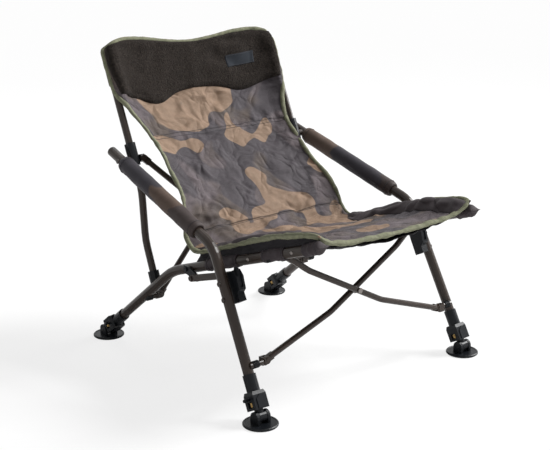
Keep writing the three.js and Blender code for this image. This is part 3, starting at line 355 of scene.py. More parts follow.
# Mesh helpers
def piece(name, verts, faces, mat, body, uv=None):
    """A smooth-shaded mesh at the origin, from arrays of points and faces, riding on a body."""
    me = bpy.data.meshes.new(name)
    faces = faces.tolist() if isinstance(faces, np.ndarray) else faces
    me.from_pydata(np.reshape(verts, (-1, 3)).tolist(), [], faces)
    me.update()
    if uv is not None:
        layer = me.uv_layers.new(name="UVMap")
        index = np.empty(len(me.loops), int)
        me.loops.foreach_get("vertex_index", index)
        layer.data.foreach_set("uv", np.reshape(uv, (-1, 2))[index].ravel())
    me.shade_smooth()
    me.materials.append(mat)
    o = bpy.data.objects.new(name, me)
    bpy.context.scene.collection.objects.link(o)
    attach(o, body)
    return o


def pair(a, b):
    """Two values at every point of a grid, as its UV map."""
    return np.stack(np.broadcast_arrays(a, b), -1)


def unit(v):
    """Vectors brought to length 1."""
    return v / np.maximum(np.linalg.norm(v, axis=-1, keepdims=True), 1e-12)


def run_along(points):
    """The length along a path up to each of its rows: the sum of the steps before it."""
    return np.concatenate([[0], np.cumsum(np.linalg.norm(np.diff(points, axis=0), axis=1))])


def resample(points, step):
    """A path's rows set again at even steps close to step; a turn of their normals counts as length too."""
    run = run_along(points)
    s = np.linspace(0, run[-1], max(2, int(round(run[-1] / step)) + 1))
    return np.stack([np.interp(s, run, points[:, k]) for k in range(points.shape[1])], 1)


def grid_quads(rows, cols, start=0, flip=False):
    """The four-sided faces between the points of a grid, row by row."""
    r, c = np.meshgrid(np.arange(rows - 1), np.arange(cols - 1), indexing="ij")
    a = start + r * cols + c
    q = np.stack([a, a + 1, a + cols + 1, a + cols], -1).reshape(-1, 4)
    return q[:, ::-1] if flip else q


def tube_quads(rows, cols, start=0, flip=False):
    """The faces of a grid whose columns close round an axis."""
    idx = start + np.arange(rows * cols).reshape(rows, cols)
    nxt = np.roll(idx, -1, 1)
    corners = [idx[:-1], nxt[:-1], nxt[1:], idx[1:]]
    if flip:
        corners = [corners[0], corners[3], corners[2], corners[1]]
    return np.stack(corners, -1).reshape(-1, 4)


def capped_quads(rows, cols):
    """The faces of a grid whose columns close round an axis, with one face across each end, as lists."""
    last = (rows - 1) * cols
    return tube_quads(rows, cols).tolist() + [list(range(cols))[::-1], list(range(last, last + cols))]


def grid_normals(g):
    """Unit normals of a grid: the cross product of its steps along the columns and along the rows."""
    return unit(np.cross(np.gradient(g, axis=1), np.gradient(g, axis=0)))


def shell(name, front, back, mat, body, uv):
    """A closed sheet between two grids of the same size."""
    rows, cols, _ = front.shape
    count = rows * cols
    idx = np.arange(count).reshape(rows, cols)
    ring = np.concatenate([idx[0, :-1], idx[:-1, -1], idx[-1, :0:-1], idx[:0:-1, 0]])
    nxt = np.roll(ring, -1)
    faces = [grid_quads(rows, cols), grid_quads(rows, cols, count, True),
             np.stack([ring, ring + count, nxt + count, nxt], -1)]
    return piece(name, np.stack([front, back]), np.concatenate(faces), mat, body, np.stack([uv, uv]))


def frames_along(points, normals=None):
    """A path's unit tangents and two unit vectors across it, near given normals or carried without twist."""
    t = unit(np.gradient(points, axis=0))
    if normals is None:
        n = np.zeros_like(t)
        ref = np.array([0, 0, 1.0]) if abs(t[0, 2]) < 0.9 else np.array([1.0, 0, 0])
        for i, along in enumerate(t):
            ref = unit(ref - along * ref.dot(along))
            n[i] = ref
    else:
        n = unit(normals - t * np.sum(normals * t, 1, keepdims=True))
    return t, n, np.cross(t, n)


def around(axis, turn, radius):
    """A tube's points: sine of the turn along one vector across its axis, cosine along the other."""
    _, n, b = frames_along(axis)
    across = n[:, None] * np.sin(turn)[None, :, None] + b[:, None] * np.cos(turn)[None, :, None]
    return axis[:, None] + across * np.broadcast_to(radius, across.shape[:2])[..., None]


def sleeve(name, outer, inner, mat, body, uv):
    """A thick-walled tube of cloth: an outer and an inner grid round one axis, joined at both ends."""
    rows, cols, _ = outer.shape
    count = rows * cols
    first, last = np.arange(cols), np.arange(count - cols, count)
    first_next, last_next = np.roll(first, -1), np.roll(last, -1)
    faces = [tube_quads(rows, cols), tube_quads(rows, cols, count, True),
             np.stack([first, first + count, first_next + count, first_next], -1),
             np.stack([last, last_next, last_next + count, last + count], -1)]
    return piece(name, np.stack([outer, inner]), np.concatenate(faces), mat, body, np.stack([uv, uv]))


# How far a strand's UV map runs round it, in metres
STRAND_ROUND = 0.03


def sweep(name, points, mat, body, half_wide, half_thick, sides=10, normals=None, closed=False):
    """A round or flattened strand along points: cosine of the turn by its half width across, sine by its half
    thickness along normals."""
    rows = len(points)
    _, n, b = frames_along(points, normals)
    a = np.linspace(0, 2 * np.pi, sides, endpoint=False)
    wide = np.broadcast_to(half_wide, rows)[:, None, None]
    thick = np.broadcast_to(half_thick, rows)[:, None, None]
    ring = (points[:, None] + b[:, None] * np.cos(a)[None, :, None] * wide
            + n[:, None] * np.sin(a)[None, :, None] * thick)
    faces = capped_quads(rows, sides)
    if closed:
        first, last = np.arange(sides), np.arange((rows - 1) * sides, rows * sides)
        joint = np.stack([last, np.roll(last, -1), np.roll(first, -1), first], -1)
        faces = np.concatenate([tube_quads(rows, sides), joint])
    uv = pair(a / (2 * np.pi) * STRAND_ROUND, run_along(points)[:, None])
    return piece(name, ring, faces, mat, body, uv)


def stitches(name, points, normals, body, pitch=0.0046, length=0.0032, half=0.00045):
    """A row of thread stitches lying on a surface.

    Each stitch is three small diamonds along the row, the middle one raised by a little more than half its
    thickness, joined by faces and closed at its two ends.
    """
    both = resample(np.concatenate([points, normals], 1), pitch)
    p, n = both[:, :3], both[:, 3:]
    t, n, b = frames_along(p, n)
    along = np.array([-0.5, 0.0, 0.5]) * length
    lift = np.array([0.1, 1.1, 0.1]) * half
    centre = p[:, None] + t[:, None] * along[:, None] + n[:, None] * lift[:, None]
    corner = np.array([[-1, 0], [0, 1], [1, 0], [0, -1]]) * half
    verts = (centre[:, :, None] + b[:, None, None] * corner[:, :1]
             + n[:, None, None] * corner[:, 1:])
    sides = tube_quads(3, 4)
    one = np.concatenate([sides, [[3, 2, 1, 0], [8, 9, 10, 11]]])
    faces = (12 * np.arange(len(p)))[:, None, None] + one
    return piece(name, verts, faces.reshape(-1, 4), THREAD, body)


def ring_stitches(name, ring, centre, body):
    """Stitches round a tube's ring of points, each facing away from its centre."""
    loop = np.concatenate([ring, ring[:1]])
    return stitches(name, loop, unit(loop - centre), body)


# The sling's surface
# Half width, edge y, edge z, centre y and centre z in millimetres, front edge first, as in the part's source
PLACES = np.array([
    [212, -352, 384, -347, 350], [226, -300, 378, -297, 343], [230, -203, 351, -200, 324],
    [231, -125, 322, -122, 307], [232, -62, 298, -62, 295], [232, -8, 280, -14, 289],
    [231, 32, 276, 18, 292], [230, 57, 297, 46, 308], [222, 66, 332, 72, 331],
    [210, 86, 370, 103, 360], [200, 129, 404, 148, 398], [196.5, 173, 449, 196, 441],
    [197, 215, 486, 240, 478], [221, 258, 541, 290, 530], [242, 278, 576, 315, 566],
    [246, 295, 614, 331, 612], [246, 318, 664, 345, 662], [238, 330, 680, 348, 675],
], float)
LAST = len(PLACES) - 1
EDGE_LINE = PLACES[:, :3]
MIDDLE_LINE = np.stack([np.zeros(LAST + 1), PLACES[:, 3], PLACES[:, 4]], 1)

# The sling's section: the head's flat border as a share of the half width, and the two parts of its hollow
BORDER_SHARE, BORDER_FROM = 0.08, 13
ROUND_SHARE, STEEP_SHARE, STEEP_POWER = 0.35, 0.65, 9
# Beside the head the cloth turns back round the uprights: its place, share of the half width and depth
TURN_FROM, TURN_OVER, TURN_START, TURN_WIDE, TURN_DEEP = 13.3, 0.8, 0.955, 0.045, 16
# The top edge rises to two shoulders and drops a little at its corners
SHOULDER_SHARE, SHOULDER_REST, SHOULDER_HIGH = 0.73, 0.27, 20
CORNER_SHARE, CORNER_REST, CORNER_FALL = 0.9, 0.1, 6


def ease(x):
    """Rises from 0 to 1 with level ends: three times the square less twice the cube."""
    x = np.clip(x, 0, 1)
    return x * x * (3 - 2 * x)


def spline(points, t):
    """A centripetal spline through points, as the part's source uses; t runs in places.

    The slope at a point weighs the gaps on its two sides by their square roots, and a cubic joins two points
    with their slopes. A point is added in line past each end.
    """
    p = np.vstack([2 * points[0] - points[1], points, 2 * points[-1] - points[-2]])
    i = np.clip(np.floor(t).astype(int), 0, len(points) - 2)
    w = (t - i)[:, None]
    p0, p1, p2, p3 = p[i], p[i + 1], p[i + 2], p[i + 3]
    d = [np.sqrt(np.linalg.norm(b - a, axis=1, keepdims=True)) for a, b in ((p0, p1), (p1, p2), (p2, p3))]
    t1 = ((p1 - p0) / d[0] - (p2 - p0) / (d[0] + d[1]) + (p2 - p1) / d[1]) * d[1]
    t2 = ((p2 - p1) / d[1] - (p3 - p1) / (d[1] + d[2]) + (p3 - p2) / d[2]) * d[1]
    c2, c3 = -3 * p1 + 3 * p2 - 2 * t1 - t2, 2 * p1 - 2 * p2 + t1 + t2
    return p1 + t1 * w + c2 * w ** 2 + c3 * w ** 3


def sling_grid(columns, rows):
    """Points in millimetres for every place (rows) and every u from -1 to 1 (columns).

    One spline runs along the edge and one along the middle. Between them the section is a mix of a square
    and a ninth power of u. The head's sides turn back, and the top edge has two shoulders.
    """
    u2, pl = np.meshgrid(columns, rows)
    edge = spline(EDGE_LINE, pl.ravel()).reshape(*pl.shape, 3)
    middle = spline(MIDDLE_LINE, pl.ravel()).reshape(*pl.shape, 3)
    out = np.abs(u2)
    share = np.minimum(1, out / (1 - BORDER_SHARE * np.clip(pl - BORDER_FROM, 0, 1)))
    p = middle + (edge - middle) * (ROUND_SHARE * share ** 2 + STEEP_SHARE * share ** STEEP_POWER)[..., None]
    p[..., 0] = edge[..., 0] * u2
    turned = np.clip((out - TURN_START) / TURN_WIDE, 0, 1) ** 2
    p[..., 1] += TURN_DEEP * ease((pl - TURN_FROM) / TURN_OVER) * turned
    top = np.clip(pl - LAST + 1, 0, 1)
    across = np.minimum(out, SHOULDER_SHARE) / SHOULDER_SHARE
    fall = np.maximum(0, out - SHOULDER_SHARE) / SHOULDER_REST
    p[..., 2] += top * SHOULDER_HIGH * np.sin(np.pi / 2 * across) ** 2 * (1 - fall ** 2)
    p[..., 2] -= top ** 2 * CORNER_FALL * np.clip((out - CORNER_SHARE) / CORNER_REST, 0, 1) ** 2
    return p


DRAPE_FRAMES, DRAPE_GROWTH, DRAPE_GRAVITY = 30, 0.03, 0.25
DRAPE_SETTINGS = {
    "quality": 8, "mass": 0.12, "tension_stiffness": 18, "compression_stiffness": 18, "shear_stiffness": 8,
    "bending_stiffness": 0.35, "shrink_min": -DRAPE_GROWTH, "shrink_max": -DRAPE_GROWTH,
}


def cloth_drape(grid, pinned):
    """The grid of a cloth, cut a little too large, once it has settled between its pinned places."""
    scene = bpy.context.scene
    me = bpy.data.meshes.new("drape")
    me.from_pydata(grid.reshape(-1, 3).tolist(), [], grid_quads(*grid.shape[:2]).tolist())
    o = bpy.data.objects.new("drape", me)
    scene.collection.objects.link(o)
    held = o.vertex_groups.new(name="pin")
    for weight in np.unique(pinned[pinned > 0]):
        held.add(np.nonzero(pinned.ravel() == weight)[0].tolist(), float(weight), "REPLACE")
    cloth = o.modifiers.new("cloth", "CLOTH")
    cloth.settings.vertex_group_mass = "pin"
    for setting, value in DRAPE_SETTINGS.items():
        setattr(cloth.settings, setting, value)
    cloth.settings.effector_weights.gravity = DRAPE_GRAVITY
    cloth.point_cache.frame_start, cloth.point_cache.frame_end = 1, DRAPE_FRAMES
    for f in range(1, DRAPE_FRAMES + 1):
        scene.frame_set(f)
    settled = o.evaluated_get(bpy.context.evaluated_depsgraph_get())
    out = np.empty(grid.size)
    settled.to_mesh().vertices.foreach_get("co", out)
    settled.to_mesh_clear()
    scene.frame_set(1)
    bpy.data.objects.remove(o)
    return out.reshape(grid.shape)


def blurred(grid, times):
    """A grid's values as half of themselves and a quarter of each neighbour, along both axes in turn."""
    g = grid.copy()
    for _ in range(times):
        for axis in (0, 1):
            pad = [(1, 1) if a == axis else (0, 0) for a in range(g.ndim)]
            q = np.pad(g, pad, "edge")
            low, high = [slice(None)] * g.ndim, [slice(None)] * g.ndim
            low[axis], high[axis] = slice(0, -2), slice(2, None)
            g = g / 2 + (q[tuple(low)] + q[tuple(high)]) / 4
    return g


def refine(grid, rows, cols):
    """A grid at other counts of rows and columns: a cubic through four neighbours, along each axis."""
    def along(a, n):
        """The same for the first axis alone."""
        t = np.linspace(0, len(a) - 1, n)
        i = np.clip(np.floor(t).astype(int), 0, len(a) - 2)
        w = (t - i).reshape(-1, *([1] * (a.ndim - 1)))
        p = [a[np.clip(i + k, 0, len(a) - 1)] for k in (-1, 0, 1, 2)]
        return 0.5 * (2 * p[1] + (p[2] - p[0]) * w + (2 * p[0] - 5 * p[1] + 4 * p[2] - p[3]) * w ** 2
                      + (3 * p[1] - p[0] - 3 * p[2] + p[3]) * w ** 3)
    return along(along(grid, rows).swapaxes(0, 1), cols).swapaxes(0, 1)


def smooth_noise(shape, cells, seed):
    """A smooth random surface: normal values on a coarse grid, carried to a fine one."""
    r = np.random.default_rng(seed)
    coarse = r.normal(size=(cells[0] + 3, cells[1] + 3, 1))
    return refine(coarse, *shape)[..., 0]


def bell(x, width):
    """A bell curve: 1 at zero, falling off with the square of x over width."""
    return np.exp(-(x / width) ** 2)


# The main folds of the source: from u and place, to u and place, and share of the full height
FOLDS = ((-0.95, 9.2, -0.2, 10.7, 1), (0.95, 9.4, 0.15, 10.9, 0.9), (-0.8, 7.3, -0.15, 9, 0.8),
         (0.75, 7.4, 0.25, 9.1, 0.9), (-0.7, 3, 0.1, 4.7, 0.8), (0.6, 0.9, -0.15, 2.6, 0.8),
         (-0.85, 12.4, -0.25, 13.3, 0.6), (0.85, 12.4, 0.3, 13.4, 0.7))
FOLD_HIGH, FOLD_WIDE, PLACES_PER_U = 0.0045, 0.42, 2.2


def ridge_line(x, y, run, width):
    """Half a sine along a line from the origin, and a bell curve across it."""
    length = math.hypot(*run)
    along = np.clip((x * run[0] + y * run[1]) / length ** 2, 0, 1)
    beside = (x * run[1] - y * run[0]) / length
    return np.sin(np.pi * along) * bell(beside, width)


def main_folds(u2, pl):
    """The sum of the main folds' ridges, measured in places both ways."""
    total = np.zeros(u2.shape)
    for u0, p0, u1, p1, high in FOLDS:
        run = ((u1 - u0) * PLACES_PER_U, p1 - p0)
        total += FOLD_HIGH * high * ridge_line((u2 - u0) * PLACES_PER_U, pl - p0, run, FOLD_WIDE)
    return total


CREASE_TURN, CREASE_BEND = 0.75, 0.12


def creases(x, y, count, seed, length, width, height):
    """Short soft ridges and furrows at random places of a cloth in metres, each bent to half a sine."""
    r = np.random.default_rng(seed)
    total = np.zeros(x.shape)
    for _ in range(count):
        cx, cy = r.uniform(x.min(), x.max()), r.uniform(y.min(), y.max())
        turn = r.normal(0, CREASE_TURN)
        run = r.uniform(*length)
        dx, dy = run * math.cos(turn), run * math.sin(turn)
        bend = CREASE_BEND * run * r.normal()
        near = (np.abs(x - cx) < run) & (np.abs(y - cy) < run)
        if not near.any():
            continue
        px, py = x[near] - cx + dx / 2, y[near] - cy + dy / 2
        bow = bend * np.sin(np.pi * np.clip((px * dx + py * dy) / run ** 2, 0, 1))
        px, py = px + bow * dy / run, py - bow * dx / run
        high = r.uniform(*height) * r.choice((-1.0, 1.0))
        total[near] += high * ridge_line(px, py, (dx, dy), r.uniform(*width))
    return total


SIM_ROWS, SIM_COLS = 151, 61
ROWS, COLS = 361, 137
SEAMS = (7.0, 12.0)
# The drape is held fast past a share of the half width and loosely beside the seams, in places
HELD_SHARE, SEAM_HOLD, SEAM_HALF = 0.955, 0.35, 0.08
# How the drape's folds are parted from its sag, reduced, faded at the edges and kept under a size in metres
SAG_BLURS, FOLD_SHARE, SIDE_FADE, END_FADE, MOST_FOLD = 60, 0.62, 0.14, 0.6, 0.004


def drape_folds(grid, at_u, at_place):
    """The folds that a settled cloth adds to the sling, as a shift for each point of its grid.

    The panel keeps the hang that the frame gives it: a much blurred copy of the drape's own shift is taken
    away from it, and what stays is its folds.
    """
    out = np.abs(np.broadcast_to(at_u, grid.shape[:2]))
    pin = (out > HELD_SHARE).astype(float)
    pin[[0, -1]] = 1.0
    for seam in SEAMS:
        pin = np.maximum(pin, SEAM_HOLD * (np.abs(at_place - seam) < SEAM_HALF)[:, None])
    moved = cloth_drape(grid, pin) - grid
    folds = blurred((moved - blurred(moved, SAG_BLURS)) * FOLD_SHARE, 1)
    ends = ease(at_place / END_FADE) * ease((LAST - at_place) / END_FADE)
    folds *= (ease((1 - out) / SIDE_FADE) * ends[:, None])[..., None]
    size = np.linalg.norm(folds, axis=-1, keepdims=True)
    return folds * np.minimum(1, MOST_FOLD / np.maximum(size, 1e-9))


def between_columns(grid, cols_at):
    """Values of a grid between its columns: the two nearest, each weighted by how near it is."""
    i = np.clip(cols_at.astype(int), 0, grid.shape[1] - 2)
    w = (cols_at - i)[:, None]
    return grid[:, i] * (1 - w) + grid[:, i + 1] * w


def bilinear(grid, rows_at, cols_at):
    """Values of a grid between its points: the four nearest, each weighted by how near it is."""
    r = np.clip(rows_at, 0, grid.shape[0] - 1.001)
    c = np.clip(cols_at, 0, grid.shape[1] - 1.001)
    r0, c0 = r.astype(int), c.astype(int)
    fr, fc = (r - r0)[..., None], (c - c0)[..., None]
    return ((grid[r0, c0] * (1 - fr) + grid[r0 + 1, c0] * fr) * (1 - fc)
            + (grid[r0, c0 + 1] * (1 - fr) + grid[r0 + 1, c0 + 1] * fr) * fc)


# Small creases all over, in metres, and where they fade out towards the edges and beside the head
CREASES = {"count": 170, "seed": 61, "length": (0.03, 0.11), "width": (0.0042, 0.008),
           "height": (0.0018, 0.0042)}
CREASE_SIDE, CREASE_END, CREASE_HEAD, CREASE_HEAD_OVER, CREASE_HEAD_SHARE = 0.1, 0.35, 13.6, 0.8, 0.75
UNEVEN_HIGH, UNEVEN_CELLS, UNEVEN_SEED = 0.0013, (34, 14), 41
# Each seam's furrow and the gathers beside it: depths and heights in metres, widths in places
SEAM_STRENGTHS, FURROW_DEEP, FURROW_WIDE = (1.0, 0.8), 0.0034, 0.085
GATHER_HIGH, GATHER_CELLS, GATHER_REACH, GATHER_FROM, GATHER_RISE = 0.0009, (3, 40), 0.4, 0.02, 0.08
HEM_HIGH, HEM_CELLS, HEM_SEED, HEM_REACH, HEM_RISE = 0.0007, (90, 3), 21, 0.10, 0.03


def sling_relief(u2, pl, along):
    """The height of the folds over the sling's front, in metres.

    Main folds, small creases and a broad unevenness, then a furrow along each seam with gathers that fade
    away from it, and gathers along the bound edge.
    """
    in_from_side = 1 - np.abs(u2)
    inside = ease(in_from_side / CREASE_SIDE) * ease(pl / CREASE_END) * ease((LAST - pl) / CREASE_END)
    inside *= 1 - CREASE_HEAD_SHARE * ease((pl - CREASE_HEAD) / CREASE_HEAD_OVER)
    half_wide = np.interp(pl, np.arange(LAST + 1), PLACES[:, 0] / 1000)
    relief = main_folds(u2, pl)
    relief += inside * creases(u2 * half_wide, along, **CREASES)
    relief += inside * UNEVEN_HIGH * smooth_noise(u2.shape, UNEVEN_CELLS, UNEVEN_SEED)
    for seam, strength in zip(SEAMS, SEAM_STRENGTHS):
        away = np.abs(pl - seam)
        relief -= FURROW_DEEP * strength * bell(away, FURROW_WIDE)
        gathers = smooth_noise(u2.shape, GATHER_CELLS, int(seam))
        gathers *= ease((away - GATHER_FROM) / GATHER_RISE)
        relief += GATHER_HIGH * gathers * np.exp(-away / GATHER_REACH)
    hem = smooth_noise(u2.shape, HEM_CELLS, HEM_SEED)
    return relief + HEM_HIGH * hem * np.exp(-in_from_side / HEM_REACH) * ease(in_from_side / HEM_RISE)


# The sling's thickness in metres: at its edge and its fill, less at the seams and under the binding
THIN, THIN_MORE, FILL_THICK, FILL_OVER, LEAST_THICK = 0.0036, 0.0004, 0.0072, 0.8, 0.0024
SEAM_THIN, SEAM_THIN_WIDE, HEM_THIN, HEM_THIN_FROM, HEM_THIN_OVER = 0.0030, 0.12, 0.0010, 0.93, 0.05


def sling_thickness(u2, pl):
    """How thick the sling is: full in its middle by one less the square of u, thin at its edge and seams."""
    ends = ease(np.minimum(pl, LAST - pl) / FILL_OVER)
    thick = THIN + (THIN_MORE + FILL_THICK * (1 - u2 ** 2)) * ends
    for seam in SEAMS:
        thick -= SEAM_THIN * bell(pl - seam, SEAM_THIN_WIDE)
    thick -= HEM_THIN * ease((np.abs(u2) - HEM_THIN_FROM) / HEM_THIN_OVER)
    return np.maximum(thick, LEAST_THICK)


# Half the sling's width and a place's length for UV maps, in metres, and how its columns crowd outwards
HALF_WIDE, PLACE_LONG, COLUMN_CROWD = 0.23, 0.06, 0.9
sim_u = np.linspace(-1, 1, SIM_COLS)
sim_place = np.linspace(0, LAST, SIM_ROWS)
sim_grid = sling_grid(sim_u, sim_place) / 1000
offset = np.zeros_like(sim_grid)
offset = drape_folds(sim_grid, sim_u, sim_place)

sling_u = np.sin(np.linspace(-1, 1, COLS) * np.pi / 2 * COLUMN_CROWD) / math.sin(np.pi / 2 * COLUMN_CROWD)
sling_place = np.linspace(0, LAST, ROWS)
hung = mm(sling_grid(sling_u, sling_place))
folded = refine(offset, ROWS, SIM_COLS)
front = hung + between_columns(folded, np.interp(sling_u, sim_u, np.arange(SIM_COLS)))
U2, P2 = np.meshgrid(sling_u, sling_place)
ALONG = np.broadcast_to(run_along(hung[:, COLS // 2])[:, None], U2.shape)
outward = grid_normals(front)
front = front + outward * sling_relief(U2, P2, ALONG)[..., None]
back = front - outward * sling_thickness(U2, P2)[..., None]
sling = shell("sling", front, back, CLOTH, LEFT, pair(U2 * HALF_WIDE, ALONG))
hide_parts("sling_panel")
normal = grid_normals(front)

soft = [sling]


def surface(uu, pp):
    """Points and normals on the finished front of the sling at each u and place."""
    rows_at = pp / LAST * (ROWS - 1)
    cols_at = np.interp(uu, sling_u, np.arange(COLS))
    return bilinear(front, rows_at, cols_at), unit(bilinear(normal, rows_at, cols_at))


# Padded dark rolls along both sides of the seat, each closed by a curved seam; heights in metres
ROLL_ROWS, ROLL_COLS, ROLL_FROM, ROLL_TO, ROLL_OUTER = 150, 34, 0.03, 6.15, 0.976
ROLL_HIGH, ROLL_SKIN, ROLL_GAP, ROLL_UNEVEN, ROLL_LIP = 0.0120, 0.0007, 0.0003, 0.0006, 0.0050
LIP_SHARE, LIP_WIDE, ROLL_STITCH_IN = 0.8, 0.24, 0.006
# A roll ends at a place, rises over some places before it, and is lower at the seat's front edge
ROLL_END, ROLL_RISE, FRONT_SHARE, FRONT_OVER = 6.1, 3.2, 0.55, 0.5
ROLL_LEAN, ROLL_SOFT, ROLL_CELLS, ROLL_SEED = 1.2, 0.8, (16, 3), 51
# The seam runs straight, then bows inwards, then out to the edge: u, and from which place over how many
SEAM_U, SEAM_IN, SEAM_IN_FROM, SEAM_IN_OVER = 0.79, 0.10, 2.6, 1.5
SEAM_OUT, SEAM_OUT_FROM, SEAM_OUT_OVER = 0.29, 4.2, 1.95
roll_place = np.linspace(ROLL_FROM, ROLL_TO, ROLL_ROWS)
roll_seam = (SEAM_U - SEAM_IN * ease((roll_place - SEAM_IN_FROM) / SEAM_IN_OVER)
             + SEAM_OUT * ease((roll_place - SEAM_OUT_FROM) / SEAM_OUT_OVER))


def seat_roll(side, tag):
    """One roll: from its seam to its outer line it rises as a softened sine, highest at the front and nothing
    at the back, and its outer part is lifted by a bell curve as well."""
    v = np.linspace(0, 1, ROLL_COLS)
    ru = side * (roll_seam[:, None] + (ROLL_OUTER - roll_seam[:, None]) * v)
    rp = np.broadcast_to(roll_place[:, None], ru.shape)
    ground, up = surface(ru, rp)
    high = ROLL_HIGH * ease((ROLL_END - roll_place) / ROLL_RISE)
    high *= FRONT_SHARE + (1 - FRONT_SHARE) * ease(roll_place / FRONT_OVER)
    rounding = np.sin(np.pi * v ** ROLL_LEAN) ** ROLL_SOFT
    puff = ROLL_SKIN + high[:, None] * rounding
    puff += ROLL_UNEVEN * smooth_noise(ru.shape, ROLL_CELLS, ROLL_SEED + side) * rounding
    top = ground + up * puff[..., None]
    top[..., 2] += ROLL_LIP * high[:, None] / ROLL_HIGH * bell(v - LIP_SHARE, LIP_WIDE)
    roll = shell(f"seat_roll_{tag}", top, ground + up * ROLL_GAP, ROLL, LEFT,
                 pair(ru * HALF_WIDE, rp * PLACE_LONG))
    seam, seam_up = surface(side * (roll_seam - ROLL_STITCH_IN), roll_place)
    return [roll, stitches(f"seat_roll_stitch_{tag}", seam, seam_up, LEFT)]


for side, tag in SIDES:
    soft += seat_roll(side, tag)


# Bound edge all round
EDGE_U, FRONT_P, TOP_P = 0.983, 0.085, LAST - 0.14
SIDE_STEPS, END_STEPS, BINDING_STEPS, BINDING_SIDES = 260, 120, 1100, 14
# Beside the head and beside the seat the binding lies further out, and beside the seat it is stouter
HEAD_OUT, SEAT_OUT, SEAT_FROM, SEAT_OVER, STOUTER, STOUTER_OVER = 0.012, 0.009, 6.6, 1.2, 0.34, 1.6
BINDING_WIDE, BINDING_THICK, BINDING_SUNK = 0.0052, 0.0038, 0.0006
CRINKLE_WIDE, CRINKLE_THICK, PUCKER_HIGH = 0.09, 0.20, 0.0008
# How often each row of values is smoothed, and how much a smoothed random row is raised again
RIM_SMOOTHED, UP_SMOOTHED, CRINKLE_SMOOTHED, PUCKER_SMOOTHED = 10, 6, 6, 16
CRINKLE_GAIN, PUCKER_GAIN = 1.6, 2.2


def smooth_ring(a, times):
    """A closed row of values, each taking half of itself and a quarter of both neighbours, several times."""
    for _ in range(times):
        a = (np.roll(a, 1, 0) + 2 * a + np.roll(a, -1, 0)) / 4
    return a


def edge_binding():
    """A flattened strand along the sling's edge, up the right side and down the left, with random crinkles
    in its size and puckers in its height."""
    across = np.linspace(EDGE_U, -EDGE_U, END_STEPS)
    down = np.linspace(FRONT_P, TOP_P, SIDE_STEPS)
    ring_u = np.concatenate([np.full(SIDE_STEPS, EDGE_U), across[1:], np.full(SIDE_STEPS - 1, -EDGE_U),
                             -across[1:-1]])
    ring_p = np.concatenate([down, np.full(END_STEPS - 1, TOP_P), down[::-1][1:],
                             np.full(END_STEPS - 2, FRONT_P)])
    ring_u *= (1 + HEAD_OUT * ease((ring_p - TURN_FROM) / TURN_OVER)
               + SEAT_OUT * ease((SEAT_FROM - ring_p) / SEAT_OVER))
    rim, rim_up = surface(ring_u, ring_p)
    rim = smooth_ring(rim - rim_up * BINDING_SUNK, RIM_SMOOTHED)
    rim_up = smooth_ring(rim_up, UP_SMOOTHED)
    run = run_along(rim)
    even = np.linspace(0, run[-1], BINDING_STEPS, endpoint=False)
    rim, rim_up = (np.stack([np.interp(even, run, a[:, k]) for k in range(3)], 1) for a in (rim, rim_up))
    stout = 1 + STOUTER * ease((SEAT_FROM - np.interp(even, run, ring_p)) / STOUTER_OVER)
    crinkle = smooth_ring(rng.normal(size=BINDING_STEPS), CRINKLE_SMOOTHED) * CRINKLE_GAIN
    pucker = smooth_ring(rng.normal(size=BINDING_STEPS), PUCKER_SMOOTHED) * PUCKER_GAIN
    return sweep("edge_binding", rim + rim_up * (pucker * PUCKER_HIGH)[:, None], BINDING, LEFT,
                 BINDING_WIDE * stout * (1 + CRINKLE_WIDE * crinkle),
                 BINDING_THICK * stout * (1 + CRINKLE_THICK * crinkle), BINDING_SIDES, rim_up, closed=True)


soft.append(edge_binding())

# Two rows of stitching at each seam, a little before and after it, in places
SEAM_STITCH_AWAY, SEAM_STITCH_U, SEAM_STITCH_STEPS = 0.075, 0.965, 200
for seam, label in zip(SEAMS, ("seat", "back")):
    for k, way in enumerate((-1, 1)):
        stitch_u = np.linspace(-SEAM_STITCH_U, SEAM_STITCH_U, SEAM_STITCH_STEPS)
        row, row_up = surface(stitch_u, np.full(SEAM_STITCH_STEPS, seam + way * SEAM_STITCH_AWAY))
        soft.append(stitches(f"{label}_seam_stitch_{k}", row, row_up, LEFT))


# Fleece head panel with a wavy lower edge; heights in metres
HEAD_ROWS, HEAD_COLS, HEAD_LEFT, HEAD_RIGHT, HEAD_TOP = 70, 121, -0.982, 0.966, LAST - 0.2
HEAD_SKIN, HEAD_HIGH, HEAD_UNEVEN, HEAD_GAP = 0.0007, 0.0088, 0.0019, 0.0004
# Its rim rises over these shares of its height and of u, and it is a little narrower at its lower edge
RIM_ENDS, RIM_LEFT, RIM_RIGHT, HEAD_NARROW, HEAD_NARROW_OVER = 0.10, 0.06, 0.11, 0.022, 0.5
HEAD_HALF_WIDE, HEAD_PLACE_LONG, PATCH_PLACE_LONG = 0.24, 0.04, 0.05
# Its lower edge: the line's place, and the depth, middle and width of its dips, in places and shares of u
HEAD_LINE, DIP_LEFT, DIP_RIGHT, DIP_AT, DIP_WIDE = 14.15, 0.78, 0.55, 0.55, 0.26
MIDDLE_DIP, MIDDLE_DIP_WIDE = 0.1, 0.3
HEAD_ROUND, HEAD_CELLS, HEAD_SEED = 0.7, (4, 7), 3


def head_low(x):
    """The head panel's lower edge: a level line, a dip beside each cheek and a shallow one at the middle."""
    dip = np.where(x < 0, DIP_LEFT, DIP_RIGHT) * bell(np.abs(x) - DIP_AT, DIP_WIDE)
    return HEAD_LINE - dip - MIDDLE_DIP * bell(x, MIDDLE_DIP_WIDE)


